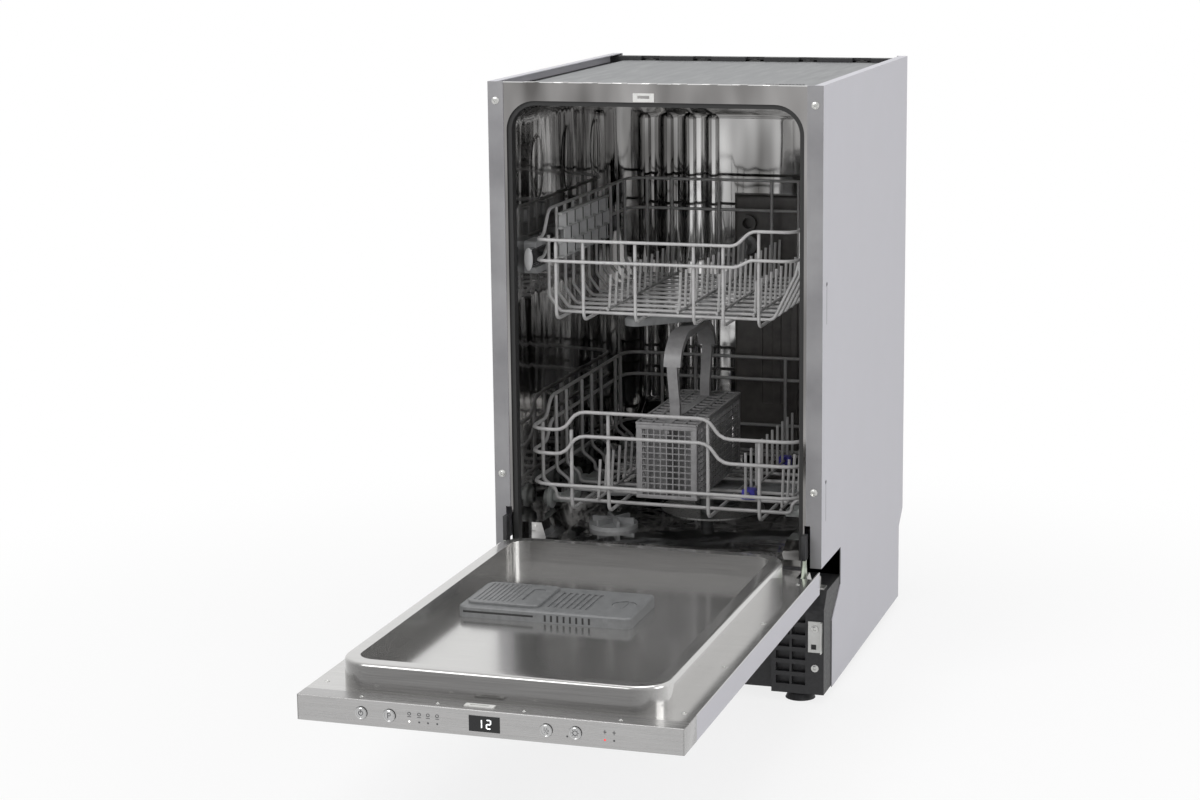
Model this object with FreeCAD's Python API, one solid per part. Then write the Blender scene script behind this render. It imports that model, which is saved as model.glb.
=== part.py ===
import FreeCAD, Part
import math
import os

os.makedirs("parts", exist_ok=True)
V = FreeCAD.Vector

# Slim 45 cm built-in dishwasher, millimetres, drawn with X to the viewer's right, Y into the machine from the
# front plane of the cabinet and Z up from the floor. Door open, both baskets pushed in. Each piece is saved
# with the middle of the open machine's footprint as its origin.

# Cabinet envelope and sheet
WIDTH, DEPTH, HEIGHT = 448.0, 550.0, 815.0
SHEET = 1.2
HALF = WIDTH / 2
SIDE_IN = HALF - SHEET
FLANGE = 21.0
FIT = 0.5

# Tub
OPEN_HALF, OPEN_TOP, OPEN_R = HALF - 25.0, HEIGHT - 25.0, 39.0
TUB_REAR = DEPTH - 35.0
FLOOR_Z = 188.0
SILL_Z = 198.0
SILL_Y, TRACK_Y = 5.0, 33.0
GASKET = 6.0

# Door, lying open: the hinge axis runs along X at HINGE_Y, HINGE_Z
HINGE_Y, HINGE_Z = -14.0, 175.0
DOOR_T = 30.0
DOOR_IN = HINGE_Z - HINGE_Y - 2.0
DOOR_OUT = DOOR_IN - DOOR_T
DOOR_TOP_CLOSED = HEIGHT - 3.0
DOOR_END = HINGE_Y - (DOOR_TOP_CLOSED - HINGE_Z)
DOOR_ROOT = -5.0
DOOR_HALF = HALF - 1.0
FASCIA_D = 24.0
BUTTON_PROUD = 1.6
FRAME_Y = (DOOR_END - BUTTON_PROUD + DEPTH) / 2
PLUG_HALF, PLUG_R = OPEN_HALF - GASKET - 1.0, 40.0
PLUG_TOP = DOOR_IN + 31.0
PLUG_FAR, PLUG_NEAR = DOOR_END + 31.0, -45.0
RIM = 18.0
DISH_Z = DOOR_IN + 3.0

# Running gear of the lower basket
WHEEL_R, WHEEL_X, WHEEL_T = 16.2, OPEN_HALF - 14.0, 12.0
ROLL_GAP = 0.4
TRACK_Z = PLUG_TOP
AXLE_Z = TRACK_Z + ROLL_GAP + WHEEL_R
JOG_X, JOG_Z = WHEEL_X - WHEEL_T / 2 - 14, AXLE_Z + WHEEL_R + 8

# Lower basket
LOW_WIRE, TINE_WIRE = 4.6, 3.4
LOW_HALF, LOW_FRONT, LOW_REAR = OPEN_HALF - 11.0, 40.0, TUB_REAR - 31.0
LOW_FLOOR, LOW_TOP, LOW_MID, LOW_LOW = 236.0, 372.0, 339.0, 270.0
LOW_DIP = 26.0
LOW_STEP = (LOW_REAR - LOW_FRONT) / 444
WHEEL_YS = [LOW_FRONT + LOW_STEP * k for k in (72, 187, 346, 426)]
LOW_CROSS = [LOW_FRONT + LOW_STEP * k for k in (42, 100, 145, 215, 260, 305, 375, 400)]

# Cutlery basket
CUT_X0, CUT_X1, CUT_Y0, CUT_Y1 = -58.0, 28.0, 105.0, 340.0
CUT_Z0, CUT_Z1 = LOW_FLOOR + LOW_WIRE * 1.5, 345.0
CUT_WALL = 2.2

# Upper basket
UP_WIRE = 4.2
UP_HALF, UP_FRONT, UP_REAR = OPEN_HALF - 21.0, 45.0, TUB_REAR - 35.0
UP_FLOOR, UP_TOP = 495.0, 636.0
UP_LOW, UP_STEP = UP_TOP - 34.0, UP_TOP - 14.0
UP_BEND = UP_STEP - 38.0
RAIL_Z, RAIL_H = 575.0, 26.0
ARM_Y = 262.0

# Sump under the tub floor and the feed duct on the rear wall
SUMP_X, SUMP_Y, SUMP_R = 0.0, 290.0, 66.0
DUCT_X0, DUCT_X1, DUCT_Z0, DUCT_Z1, DUCT_Y = -23.0, 75.0, 225.0, 612.0, TUB_REAR - 16.0


def box(x0, x1, y0, y1, z0, z1):
    return Part.makeBox(x1 - x0, y1 - y0, z1 - z0, V(x0, y0, z0))


def cyl(radius, start, end):
    axis = V(*end) - V(*start)
    return Part.makeCylinder(radius, axis.Length, V(*start), axis)


def prism(points, start, travel):
    """Polygon through 3-D points, pushed along a vector."""
    corners = [V(*p) + V(*start) for p in points]
    face = Part.Face(Part.makePolygon(corners + corners[:1]))
    return face.extrude(V(*travel))


def side_prism(points_yz, x0, x1):
    return prism([(0, y, z) for y, z in points_yz], (x0, 0, 0), (x1 - x0, 0, 0))


def mirror(shape):
    return shape.mirror(V(0, 0, 0), V(1, 0, 0))


def fuse(shapes):
    body = shapes[0].multiFuse(shapes[1:])
    return body.removeSplitter()


def rounded_plate(x0, x1, y0, y1, z0, z1, radius):
    """Plate with four round corners seen from above."""
    plate = box(x0, x1, y0, y1, z0, z1)
    upright = [e for e in plate.Edges if abs(e.tangentAt(e.FirstParameter).z) > 0.9]
    return plate.makeFillet(radius, upright)


def arch(half, top, radius, bottom, y0, y1):
    """Block with two round top corners seen from the front, as the tub opening has."""
    block = box(-half, half, y0, y1, bottom, top)
    edges = [e for e in block.Edges
             if abs(e.tangentAt(e.FirstParameter).y) > 0.9 and e.CenterOfMass.z > top - 1]
    return block.makeFillet(radius, edges)


def bent(points, radius, chords=3):
    """Path whose corners are replaced by short chords of a bend."""
    path = [V(*points[0])]
    for before, corner, after in zip(points, points[1:], points[2:]):
        here = V(*corner)
        to_a = V(*before) - here
        to_b = V(*after) - here
        to_a.normalize()
        to_b.normalize()
        half = to_a.getAngle(to_b) / 2
        room = 0.49 * min((V(*before) - here).Length, (V(*after) - here).Length)
        reach = min(radius / math.tan(half), room)
        mid = to_a + to_b
        mid.normalize()
        bend_r = reach * math.tan(half)
        centre = here + mid * (bend_r / math.sin(half))
        start = here + to_a * reach - centre
        end = here + to_b * reach - centre
        sweep = start.getAngle(end)
        for step in range(chords + 1):
            share = step / chords
            mixed = start * math.sin((1 - share) * sweep) + end * math.sin(share * sweep)
            ring = mixed * (1 / math.sin(sweep))
            path.append(centre + ring)
    path.append(V(*points[-1]))
    return path


def wire(points, size, sides=8):
    """Drawn wire of even section along a path, mitred at every bend."""
    path = [V(*p) for p in points]
    runs = [b - a for a, b in zip(path, path[1:])]
    for run in runs:
        run.normalize()
    across = runs[0].cross(V(0, 0, 1)) if abs(runs[0].z) < 0.9 else V(1, 0, 0)
    across.normalize()
    up = across.cross(runs[0])
    reach = size / 2 / math.cos(math.pi / sides)
    turns = [(k + 0.5) * 2 * math.pi / sides for k in range(sides)]
    ring = [path[0] + across * (reach * math.cos(t)) + up * (reach * math.sin(t)) for t in turns]
    faces = [Part.Face(Part.makePolygon(ring + ring[:1]))]
    for i, run in enumerate(runs):
        normal = run + runs[i + 1] if i + 1 < len(runs) else run
        ahead = [p + run * ((path[i + 1] - p).dot(normal) / run.dot(normal)) for p in ring]
        for k in range(sides):
            n = (k + 1) % sides
            faces.append(Part.Face(Part.makePolygon([ring[k], ring[n], ahead[n], ahead[k], ring[k]])))
        ring = ahead
    faces.append(Part.Face(Part.makePolygon(ring + ring[:1])))
    solid = Part.Solid(Part.Shell(faces))
    return solid if solid.Volume > 0 else solid.reversed()


def spread(first, last, count):
    """Evenly spaced places from the first to the last."""
    return [first + (last - first) * k / (count - 1) for k in range(count)]


def save(node, *shapes):
    shape = shapes[0] if len(shapes) == 1 else Part.makeCompound(list(shapes))
    shape.translated(V(0, -FRAME_Y, 0)).exportStep("parts/" + node + ".step")


# Side panels: folded sheet with a front and a top flange, stepped in at the back foot and cut away
# at the front for the hinge and the plinth
BASE_REAR = DEPTH - 29.0
NOTCH = [(0, 190), (117, 190), (117, 138), (66, 102), (66, 10)]
outline = [(0, HEIGHT), (DEPTH, HEIGHT), (DEPTH, 140), (BASE_REAR + 2, 118), (BASE_REAR + 2, 10)]
outline += NOTCH[::-1]
sheet = side_prism(outline, SIDE_IN, HALF)
front_flange = box(HALF - FLANGE, HALF, 0, SHEET, NOTCH[0][1], HEIGHT)
top_flange = box(HALF - 12, HALF, 0, DEPTH, HEIGHT - SHEET, HEIGHT)
rear_flange = box(HALF - 15, HALF, DEPTH - SHEET, DEPTH, 140, HEIGHT)
LEVER_X = HALF - FLANGE
lever_slot = box(LEVER_X - 2, LEVER_X + 6, -1, 3, NOTCH[0][1] - 1, 246)
right_panel = fuse([sheet, front_flange, top_flange, rear_flange]).cut(lever_slot)
for z in (300, 560):
    right_panel = right_panel.cut(cyl(3.2, (SIDE_IN - 1, 24, z), (HALF + 1, 24, z)))
save("right_side_panel", right_panel)
save("left_side_panel", mirror(right_panel))

# Tub wrapper: sides and roof bent from one sheet, with the polished front flange
roof = arch(OPEN_HALF + SHEET, OPEN_TOP + SHEET, OPEN_R + SHEET, SILL_Z, SHEET, TUB_REAR)
flange_plate = box(-SIDE_IN, SIDE_IN, SHEET, 2 * SHEET, NOTCH[0][1], HEIGHT - SHEET)
flange_lip = box(-HALF + 12, HALF - 12, 2 * SHEET, 14, HEIGHT - 2 * SHEET, HEIGHT - SHEET)
cavity = arch(OPEN_HALF, OPEN_TOP, OPEN_R, 100, -1, TUB_REAR + 1)
wrapper = fuse([roof, flange_plate, flange_lip]).cut(cavity)
for side in (1, -1):
    slot = lever_slot if side > 0 else mirror(lever_slot)
    wrapper = wrapper.cut(slot)
save("tub_wrapper", wrapper)

# Rear wall of the tub with pressed beads
rear = arch(OPEN_HALF + SHEET, OPEN_TOP + SHEET, OPEN_R + SHEET, FLOOR_Z - SHEET, TUB_REAR, TUB_REAR + SHEET)
BEAD_R, BEAD_RISE = 15.0, 4.5
bead_xs = spread(-OPEN_HALF + 34, DUCT_X0 - 37, 4) + spread(DUCT_X1 + 35, OPEN_HALF - 29, 3)
bead_y = TUB_REAR + BEAD_R - BEAD_RISE
bead_z0, bead_z1 = FLOOR_Z + 112, OPEN_TOP - 70
beads = []
for x in bead_xs:
    rod = cyl(BEAD_R, (x, bead_y, bead_z0), (x, bead_y, bead_z1))
    ends = [Part.makeSphere(BEAD_R, V(x, bead_y, z)) for z in (bead_z0, bead_z1)]
    beads.append(fuse([rod] + ends))
front_side = box(-OPEN_HALF, OPEN_HALF, TUB_REAR - 10, TUB_REAR + SHEET, FLOOR_Z, OPEN_TOP)
save("tub_rear_wall", fuse([rear] + [bead.common(front_side) for bead in beads]))

# Tub floor: raised wheel tracks along both sides, a sunk middle with the sump hole, the front sill
STEP_X = OPEN_HALF - 29.0
trough = [(-OPEN_HALF, TRACK_Z), (-STEP_X, TRACK_Z), (-STEP_X + 9, FLOOR_Z), (STEP_X - 9, FLOOR_Z),
          (STEP_X, TRACK_Z), (OPEN_HALF, TRACK_Z)]
under = [(x, z - SHEET) for x, z in reversed(trough)]
pan = prism([(x, 0, z) for x, z in trough + under], (0, TRACK_Y, 0), (0, TUB_REAR - TRACK_Y, 0))
riser_outline = [(-OPEN_HALF, SILL_Z - SHEET), (-STEP_X + 9, FLOOR_Z - SHEET), (STEP_X - 9, FLOOR_Z - SHEET),
                 (OPEN_HALF, SILL_Z - SHEET)] + trough[::-1]
riser = prism([(x, 0, z) for x, z in riser_outline], (0, TRACK_Y - SHEET, 0), (0, SHEET, 0))
sill = box(-OPEN_HALF, OPEN_HALF, SILL_Y, TRACK_Y, SILL_Z - SHEET, SILL_Z)
apron = box(-OPEN_HALF, OPEN_HALF, SILL_Y, SILL_Y + SHEET, 168, SILL_Z)
sump_hole = cyl(SUMP_R - 6, (SUMP_X, SUMP_Y, FLOOR_Z - 9), (SUMP_X, SUMP_Y, FLOOR_Z + 9))
SALT_X, SALT_Y, SALT_R = -STEP_X + 65.0, 150.0, 34.0
salt_hole = cyl(SALT_R - 6, (SALT_X, SALT_Y, FLOOR_Z - 9), (SALT_X, SALT_Y, FLOOR_Z + 9))
floor = fuse([pan, riser, sill, apron]).cut(sump_hole).cut(salt_hole)
save("tub_floor", floor)

# Rubber door seal round the sides and top of the opening
seal_out = arch(OPEN_HALF, OPEN_TOP, OPEN_R, SILL_Z, 4, 18)
seal_in = arch(OPEN_HALF - GASKET, OPEN_TOP - GASKET, OPEN_R - GASKET, SILL_Z - 1, 3, 19)
seal_lip = arch(OPEN_HALF - 2, OPEN_TOP - 2, OPEN_R - 2, SILL_Z - 1, 9, 13)
save("door_gasket", seal_out.cut(seal_in).cut(seal_lip.cut(arch(
    OPEN_HALF - 4, OPEN_TOP - 4, OPEN_R - 4, SILL_Z - 2, 8, 14))))

# Recessed top sheet, a shallow tray turned down on the tub roof
COVER_Z = HEIGHT - 9.0
COVER_REAR = TUB_REAR + 13.0
tray = box(-OPEN_HALF, OPEN_HALF, 20, COVER_REAR, OPEN_TOP + SHEET, COVER_Z)
tray = tray.makeFillet(10, [e for e in tray.Edges if abs(e.tangentAt(e.FirstParameter).z) > 0.9])
tray_in = box(-OPEN_HALF + 1, OPEN_HALF - 1, 21, COVER_REAR - 1, OPEN_TOP, COVER_Z - 1)
save("top_cover", tray.cut(tray_in))

# Dark rear rail across the top with its clip notches
RAIL_LOW, RAIL_TOP = HEIGHT - 27.0, HEIGHT - 3.0
rail = box(-SIDE_IN, SIDE_IN, DEPTH - 19, DEPTH - 3, RAIL_LOW, RAIL_TOP)
for k in range(5):
    x = (k - 2) * SIDE_IN * 0.36
    rail = rail.cut(box(x - 14, x + 14, DEPTH - 20, DEPTH - 9, RAIL_TOP - 9, RAIL_TOP + 1))
rail = rail.cut(box(-SIDE_IN + 6, SIDE_IN - 6, DEPTH - 15, DEPTH - 2, RAIL_LOW - 1, RAIL_TOP - 4))
save("rear_top_rail", rail)

# Back panel with two pressed bands
back = box(-SIDE_IN, SIDE_IN, DEPTH - 2 * SHEET, DEPTH - SHEET, 150, RAIL_LOW)
for z in (300, 560):
    band = rounded_plate(-SIDE_IN + 70, SIDE_IN - 70, z, z + 70, 0, 4, 20)
    band.rotate(V(0, 0, 0), V(1, 0, 0), 90)
    band.translate(V(0, DEPTH - 2 * SHEET, 0))
    back = back.fuse(band)
save("back_panel", back.removeSplitter())

# Black moulded base with ribbed front corners
BASE_FRONT, BASE_LOW, BASE_TOP = 40.0, 12.0, 150.0
CORNER_X = HALF - 72.0
CORNER_FRONT = 22.0
BASE_WALL = 4.0
corner_outline = [(CORNER_FRONT, BASE_LOW), (68, BASE_LOW), (68, 101), (119, 137), (119, BASE_TOP),
                  (BASE_FRONT, BASE_TOP), (CORNER_FRONT, 128)]
corner = side_prism(corner_outline, CORNER_X, SIDE_IN)
base = fuse([box(-SIDE_IN, SIDE_IN, 67, BASE_REAR, BASE_LOW, 100),
             box(-SIDE_IN, SIDE_IN, 119, BASE_REAR, 90, BASE_TOP),
             box(-CORNER_X - 1, CORNER_X + 1, BASE_FRONT, 130, BASE_LOW, BASE_TOP),
             corner, mirror(corner)])
well_z = BASE_LOW + BASE_WALL
well_x = SIDE_IN - BASE_WALL
base = base.cut(box(-well_x, well_x, 124, BASE_REAR - BASE_WALL, well_z, BASE_TOP + 1))
base = base.cut(box(-CORNER_X + 6, CORNER_X - 6, BASE_FRONT + BASE_WALL, 125, well_z, BASE_TOP + 1))
for k in range(6):
    z = BASE_LOW + 12 + 17 * k
    pocket = box(CORNER_X + 6, HALF - 26, CORNER_FRONT - 1, CORNER_FRONT + 8, z, z + 11)
    base = base.cut(pocket).cut(mirror(pocket))
FOOT_AT = ((38.0 - HALF, 46.0), (HALF - 38.0, 46.0), (0.0, DEPTH - 60.0))
FOOT_STEM = 6.0
for x, y in FOOT_AT:
    boss = cyl(15, (x, y, 8.3), (x, y, 70))
    base = base.fuse(boss).cut(cyl(FOOT_STEM + FIT, (x, y, 0), (x, y, 66)))
INLET_X, INLET_Z = 74.0 - HALF, 70.0
base = base.cut(cyl(22, (INLET_X, BASE_REAR - 9, INLET_Z), (INLET_X, BASE_REAR + 9, INLET_Z)))
save("base_tray", base.removeSplitter())

# Zinc corner brackets screwed to the base, with the square key hole
BRACKET_X0, BRACKET_X1 = HALF - 22.0, HALF - 3.0
BRACKET_T = 1.5
BRACKET_Z0, BRACKET_Z1 = 70.0, 112.0
plate = box(BRACKET_X0, BRACKET_X1, CORNER_FRONT - BRACKET_T, CORNER_FRONT, BRACKET_Z0, BRACKET_Z1)
fold = box(BRACKET_X1 - BRACKET_T, BRACKET_X1, CORNER_FRONT - 8, CORNER_FRONT, BRACKET_Z0, BRACKET_Z1)
key_hole = box(BRACKET_X0 + 4, BRACKET_X0 + 11, CORNER_FRONT - 3, CORNER_FRONT + 2,
               BRACKET_Z0 + 4, BRACKET_Z0 + 11)
bracket = fuse([plate, fold]).cut(key_hole)
save("base_brackets", bracket, mirror(bracket))

# Screw feet
for node, (x, y) in zip(("front_foot_left", "front_foot_right", "rear_foot"), FOOT_AT):
    pad = Part.makeCone(20, 16, 8, V(x, y, 0))
    save(node, fuse([pad, cyl(FOOT_STEM, (x, y, 8), (x, y, 64))]))

# Hinge brackets on the base, each carrying the pivot pin of the door
PIN_R = 4.0
PLATE_X = LEVER_X + 5.0
plate_outline = [(-22, 166), (-22, 184), (-6, 186), (8, 170), (60, 164), (60, 150), (8, 150), (-6, 160)]
plate = side_prism(plate_outline, PLATE_X, PLATE_X + 2)
pin = cyl(PIN_R, (LEVER_X - 1, HINGE_Y, HINGE_Z), (PLATE_X + 1, HINGE_Y, HINGE_Z))
ledge = box(PLATE_X, PLATE_X + 10, 42, 60, 150, 152)
hinge = fuse([plate, pin, ledge])
save("hinge_brackets", hinge, mirror(hinge))

# Door levers: arm inside the door, eye on the pin, hook that swings back into the cabinet
lever_outline = [(-130, DOOR_OUT + 1), (-44, DOOR_OUT + 1), (-30, 164), (-14, 164), (-4, 170), (-4, 180),
                 (-7, 200), (-6, 228), (-12, 236), (-18, 230), (-18, 200), (-24, 184), (-44, 182),
                 (-130, 182)]
lever = side_prism(lever_outline, LEVER_X, LEVER_X + 3)
lever = lever.cut(cyl(PIN_R + 0.4, (LEVER_X - 1, HINGE_Y, HINGE_Z), (LEVER_X + 4, HINGE_Y, HINGE_Z)))
save("hinge_levers", lever, mirror(lever))

# Outer skin of the door, a tray with holes for the furniture panel
skin = box(-DOOR_HALF, DOOR_HALF, DOOR_END + FASCIA_D, DOOR_ROOT, DOOR_OUT, DOOR_IN - 1)
skin = skin.cut(box(-DOOR_HALF + 1, DOOR_HALF - 1, DOOR_END, DOOR_ROOT - 1, DOOR_OUT + 1, DOOR_IN + 1))
root_notch = box(LEVER_X - 3, DOOR_HALF - 1.5, -42, 0, DOOR_OUT - 1, DOOR_IN + 1)
skin = skin.cut(root_notch).cut(mirror(root_notch))
PANEL_X, PANEL_YS, PANEL_R = DOOR_HALF - 33.0, (DOOR_END + 51.0, -330.0, -90.0), 2.25
for y in PANEL_YS:
    for x in (-PANEL_X, PANEL_X):
        skin = skin.cut(cyl(PANEL_R, (x, y, DOOR_OUT - 1), (x, y, DOOR_OUT + 2)))
save("door_outer_skin", skin)

# Stainless door liner: flat flange, raised rim that plugs the tub, dish inside the rim
flange = box(-DOOR_HALF, DOOR_HALF, DOOR_END + FASCIA_D, DOOR_ROOT, DOOR_IN - 1, DOOR_IN)


def plug(inset, z0, z1):
    """Block of the rim outline, drawn in by an inset."""
    return rounded_plate(-PLUG_HALF + inset, PLUG_HALF - inset, PLUG_FAR + inset, PLUG_NEAR - inset, z0, z1,
                         PLUG_R - inset)


raised = plug(0, DOOR_IN - 1, PLUG_TOP)
top_edges = [e for e in raised.Edges if e.CenterOfMass.z > PLUG_TOP - 0.1]
raised = raised.makeFillet(5, top_edges)
dish = plug(RIM, DISH_Z, PLUG_TOP + 1)
channel = plug(SHEET, DOOR_IN - 2, PLUG_TOP - 6).cut(plug(RIM - SHEET, DOOR_IN - 3, PLUG_TOP))
below_dish = plug(RIM - SHEET, DOOR_IN - 2, DISH_Z - SHEET)
DISP_X0, DISP_X1, DISP_Y0, DISP_Y1 = -PLUG_HALF + 37.0, -PLUG_HALF + 257.0, -328.0, -218.0
DISP_TOP = DISH_Z + 14
disp_hole = box(DISP_X0 + 8, DISP_X1 - 8, DISP_Y0 + 8, DISP_Y1 - 8, DOOR_IN - 5, DISH_Z + 1)
liner = fuse([flange, raised]).cut(dish).cut(channel).cut(below_dish).cut(disp_hole)
liner = liner.cut(root_notch).cut(mirror(root_notch))
save("door_liner", liner)

# Control fascia along the door's end, hollow, with button holes and the display window
BUTTON_R, BUTTON_GAP = 7.0, 0.5
STRIP_Z = (DOOR_IN + DOOR_OUT) / 2
BUTTONS = {"power_button": 0.173, "program_button": 0.248, "half_load_button": 0.654, "start_button": 0.728}
DISPLAY = (-20.0, 16.0, STRIP_Z - 9, STRIP_Z + 9)
FACE_WALL = 2.0
fascia = box(-DOOR_HALF, DOOR_HALF, DOOR_END, DOOR_END + FASCIA_D, DOOR_OUT, DOOR_IN)
fascia = fascia.makeFillet(1.5, [e for e in fascia.Edges if e.CenterOfMass.y < DOOR_END + 0.1])
fascia = fascia.cut(box(-DOOR_HALF + 2, DOOR_HALF - 2, DOOR_END + FACE_WALL, DOOR_END + FASCIA_D + 1,
                        DOOR_OUT + 2, DOOR_IN - 2))
for share in BUTTONS.values():
    x = (share - 0.5) * WIDTH
    fascia = fascia.cut(cyl(BUTTON_R + BUTTON_GAP, (x, DOOR_END - 1, STRIP_Z), (x, DOOR_END + 3, STRIP_Z)))
fascia = fascia.cut(box(DISPLAY[0], DISPLAY[1], DOOR_END - 1, DOOR_END + 3, DISPLAY[2], DISPLAY[3]))
LATCH_X = -12.0
fascia = fascia.cut(box(LATCH_X - 18, LATCH_X + 18, DOOR_END + 9, DOOR_END + 19, DOOR_IN - 3, DOOR_IN + 1))
save("control_fascia", fascia)
window = box(DISPLAY[0], DISPLAY[1], DOOR_END - 0.4, DOOR_END + 3, DISPLAY[2], DISPLAY[3])
save("display_window", window.makeFillet(0.3, [e for e in window.Edges if e.CenterOfMass.y < DOOR_END]))

# Push buttons: cap, waist through the fascia, retaining collar behind it
for node, share in BUTTONS.items():
    x = (share - 0.5) * WIDTH
    profile = [(0, -BUTTON_PROUD), (BUTTON_R - 2.2, -BUTTON_PROUD), (BUTTON_R - 1.2, -1.0),
               (BUTTON_R, -BUTTON_PROUD), (BUTTON_R, 2.4), (BUTTON_R + 2, 2.4), (BUTTON_R + 2, 4.4), (0, 4.4)]
    half = Part.Face(Part.makePolygon([V(x + r, DOOR_END + y, STRIP_Z) for r, y in profile + profile[:1]]))
    save(node, half.revolve(V(x, 0, STRIP_Z), V(0, 1, 0), 360))

# Door latch in the end of the door and its striker on the tub flange
latch = box(LATCH_X - 17, LATCH_X + 17, DOOR_END + 9.5, DOOR_END + 18.5, DOOR_IN - 12, DOOR_IN + 1.2)
latch = latch.cut(box(LATCH_X - 11, LATCH_X + 11, DOOR_END + 12, DOOR_END + 16, DOOR_IN - 8, DOOR_IN + 2))
shelf = box(LATCH_X - 24, LATCH_X + 24, DOOR_END + 2, DOOR_END + FASCIA_D - 1, DOOR_IN - 14, DOOR_IN - 12)
save("door_latch", fuse([latch, shelf.cut(box(LATCH_X - 30, LATCH_X + 30, DOOR_END, DOOR_END + 5, 0, 400))]))
striker = box(LATCH_X - 14, LATCH_X + 14, 0.2, SHEET, OPEN_TOP + 1, OPEN_TOP + 12)
striker = striker.cut(box(LATCH_X - 8, LATCH_X + 8, 0, 2, OPEN_TOP + 5, OPEN_TOP + 9))
save("latch_striker", striker)

# Detergent dispenser: frame on the dish, tank through the liner, open cup under a sliding lid
frame_top = rounded_plate(DISP_X0, DISP_X1, DISP_Y0, DISP_Y1, DISH_Z, DISP_TOP, 9)
frame_top = frame_top.makeFillet(3, [e for e in frame_top.Edges if e.CenterOfMass.z > DISP_TOP - 0.1])
tank = box(DISP_X0 + 9, DISP_X1 - 9, DISP_Y0 + 9, DISP_Y1 - 9, DOOR_OUT + 4, DISH_Z + 2)
CUP = (DISP_X0 + 14, DISP_X0 + 94, DISP_Y0 + 16, DISP_Y1 - 16)
cup = rounded_plate(CUP[0], CUP[1], CUP[2], CUP[3], DOOR_OUT + 8, DISP_TOP + 1, 12)
CAP_X, CAP_Y, CAP_R = DISP_X1 - 24, (DISP_Y0 + DISP_Y1) / 2, 15.0
cap_seat = cyl(CAP_R + FIT, (CAP_X, CAP_Y, DISP_TOP - 6), (CAP_X, CAP_Y, DISP_TOP + 1))
dispenser = fuse([frame_top, tank]).cut(cup).cut(cap_seat)
for k in range(7):
    x = DISP_X0 + 108 + 8 * k
    dispenser = dispenser.cut(box(x, x + 4, DISP_Y0 + 22, DISP_Y1 - 22, DISP_TOP - 1.5, DISP_TOP + 1))
save("dispenser_body", dispenser)
LID_TRAVEL = 72.0
lid = rounded_plate(CUP[0] - 6, CUP[1] + 6, CUP[2] - 6, CUP[3] + 6, DISP_TOP, DISP_TOP + 4, 8)
lid = lid.makeFillet(1.5, [e for e in lid.Edges if e.CenterOfMass.z > DISP_TOP + 3.9])
thumb_dip = rounded_plate(CUP[1] - 22, CUP[1] - 6, CUP[2] + 12, CUP[3] - 12, DISP_TOP + 2.4, DISP_TOP + 5, 6)
lid = lid.cut(thumb_dip)
save("dispenser_lid", lid)
cap = cyl(CAP_R, (CAP_X, CAP_Y, DISP_TOP - 6), (CAP_X, CAP_Y, DISP_TOP - 1))
cap = cap.fuse(box(CAP_X - 2, CAP_X + 2, CAP_Y - CAP_R + 3, CAP_Y + CAP_R - 3, DISP_TOP - 2, DISP_TOP - 0.2))
save("rinse_aid_cap", cap.removeSplitter())

# Sump under the floor with the post of the lower spray arm, filter plate, twist-out filter
POST_Y, POST_R = ARM_Y - 4, 9.0
bowl_profile = [(0, 112), (SUMP_R - 26, 112), (SUMP_R, 140), (SUMP_R, FLOOR_Z - SHEET),
                (SUMP_R - 4, FLOOR_Z - SHEET), (SUMP_R - 4, 142), (SUMP_R - 28, 116), (0, 116)]
bowl_line = [V(SUMP_X + r, SUMP_Y, z) for r, z in bowl_profile + bowl_profile[:1]]
bowl_face = Part.Face(Part.makePolygon(bowl_line))
bowl = bowl_face.revolve(V(SUMP_X, SUMP_Y, 0), V(0, 0, 1), 360)
LOW_ARM_Z = TRACK_Z + 2.0
post = cyl(POST_R, (0, POST_Y, 114), (0, POST_Y, LOW_ARM_Z - 1))
spindle = cyl(5, (0, POST_Y, LOW_ARM_Z - 2), (0, POST_Y, LOW_ARM_Z + 8))
FILTER_R, FILTER_SPACE = 27.0, 13.0
FILTER_Y = SUMP_Y + SUMP_R - FILTER_R - FILTER_SPACE
save("sump", fuse([bowl, post, spindle]))
plate = cyl(SUMP_R + 8, (SUMP_X, SUMP_Y, FLOOR_Z), (SUMP_X, SUMP_Y, FLOOR_Z + SHEET))
plate = plate.cut(cyl(POST_R + FIT, (0, POST_Y, FLOOR_Z - 1), (0, POST_Y, FLOOR_Z + 3)))
save("filter_plate", plate.cut(cyl(FILTER_R + FIT, (0, FILTER_Y, FLOOR_Z - 1), (0, FILTER_Y, FLOOR_Z + 3))))
cup_body = cyl(FILTER_R, (0, FILTER_Y, 150), (0, FILTER_Y, FLOOR_Z + 4))
cup_body = cup_body.cut(cyl(FILTER_R - 2.5, (0, FILTER_Y, 153), (0, FILTER_Y, FLOOR_Z + 5)))
collar = cyl(FILTER_R + 5, (0, FILTER_Y, FLOOR_Z + SHEET), (0, FILTER_Y, FLOOR_Z + 4))
collar = collar.cut(cyl(FILTER_R - 2.5, (0, FILTER_Y, 153), (0, FILTER_Y, FLOOR_Z + 5)))
grip = box(-FILTER_R + 1, FILTER_R - 1, FILTER_Y - 2, FILTER_Y + 2, FLOOR_Z - 4, FLOOR_Z + 16)
save("filter_cup", fuse([cup_body, collar, grip]))

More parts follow.
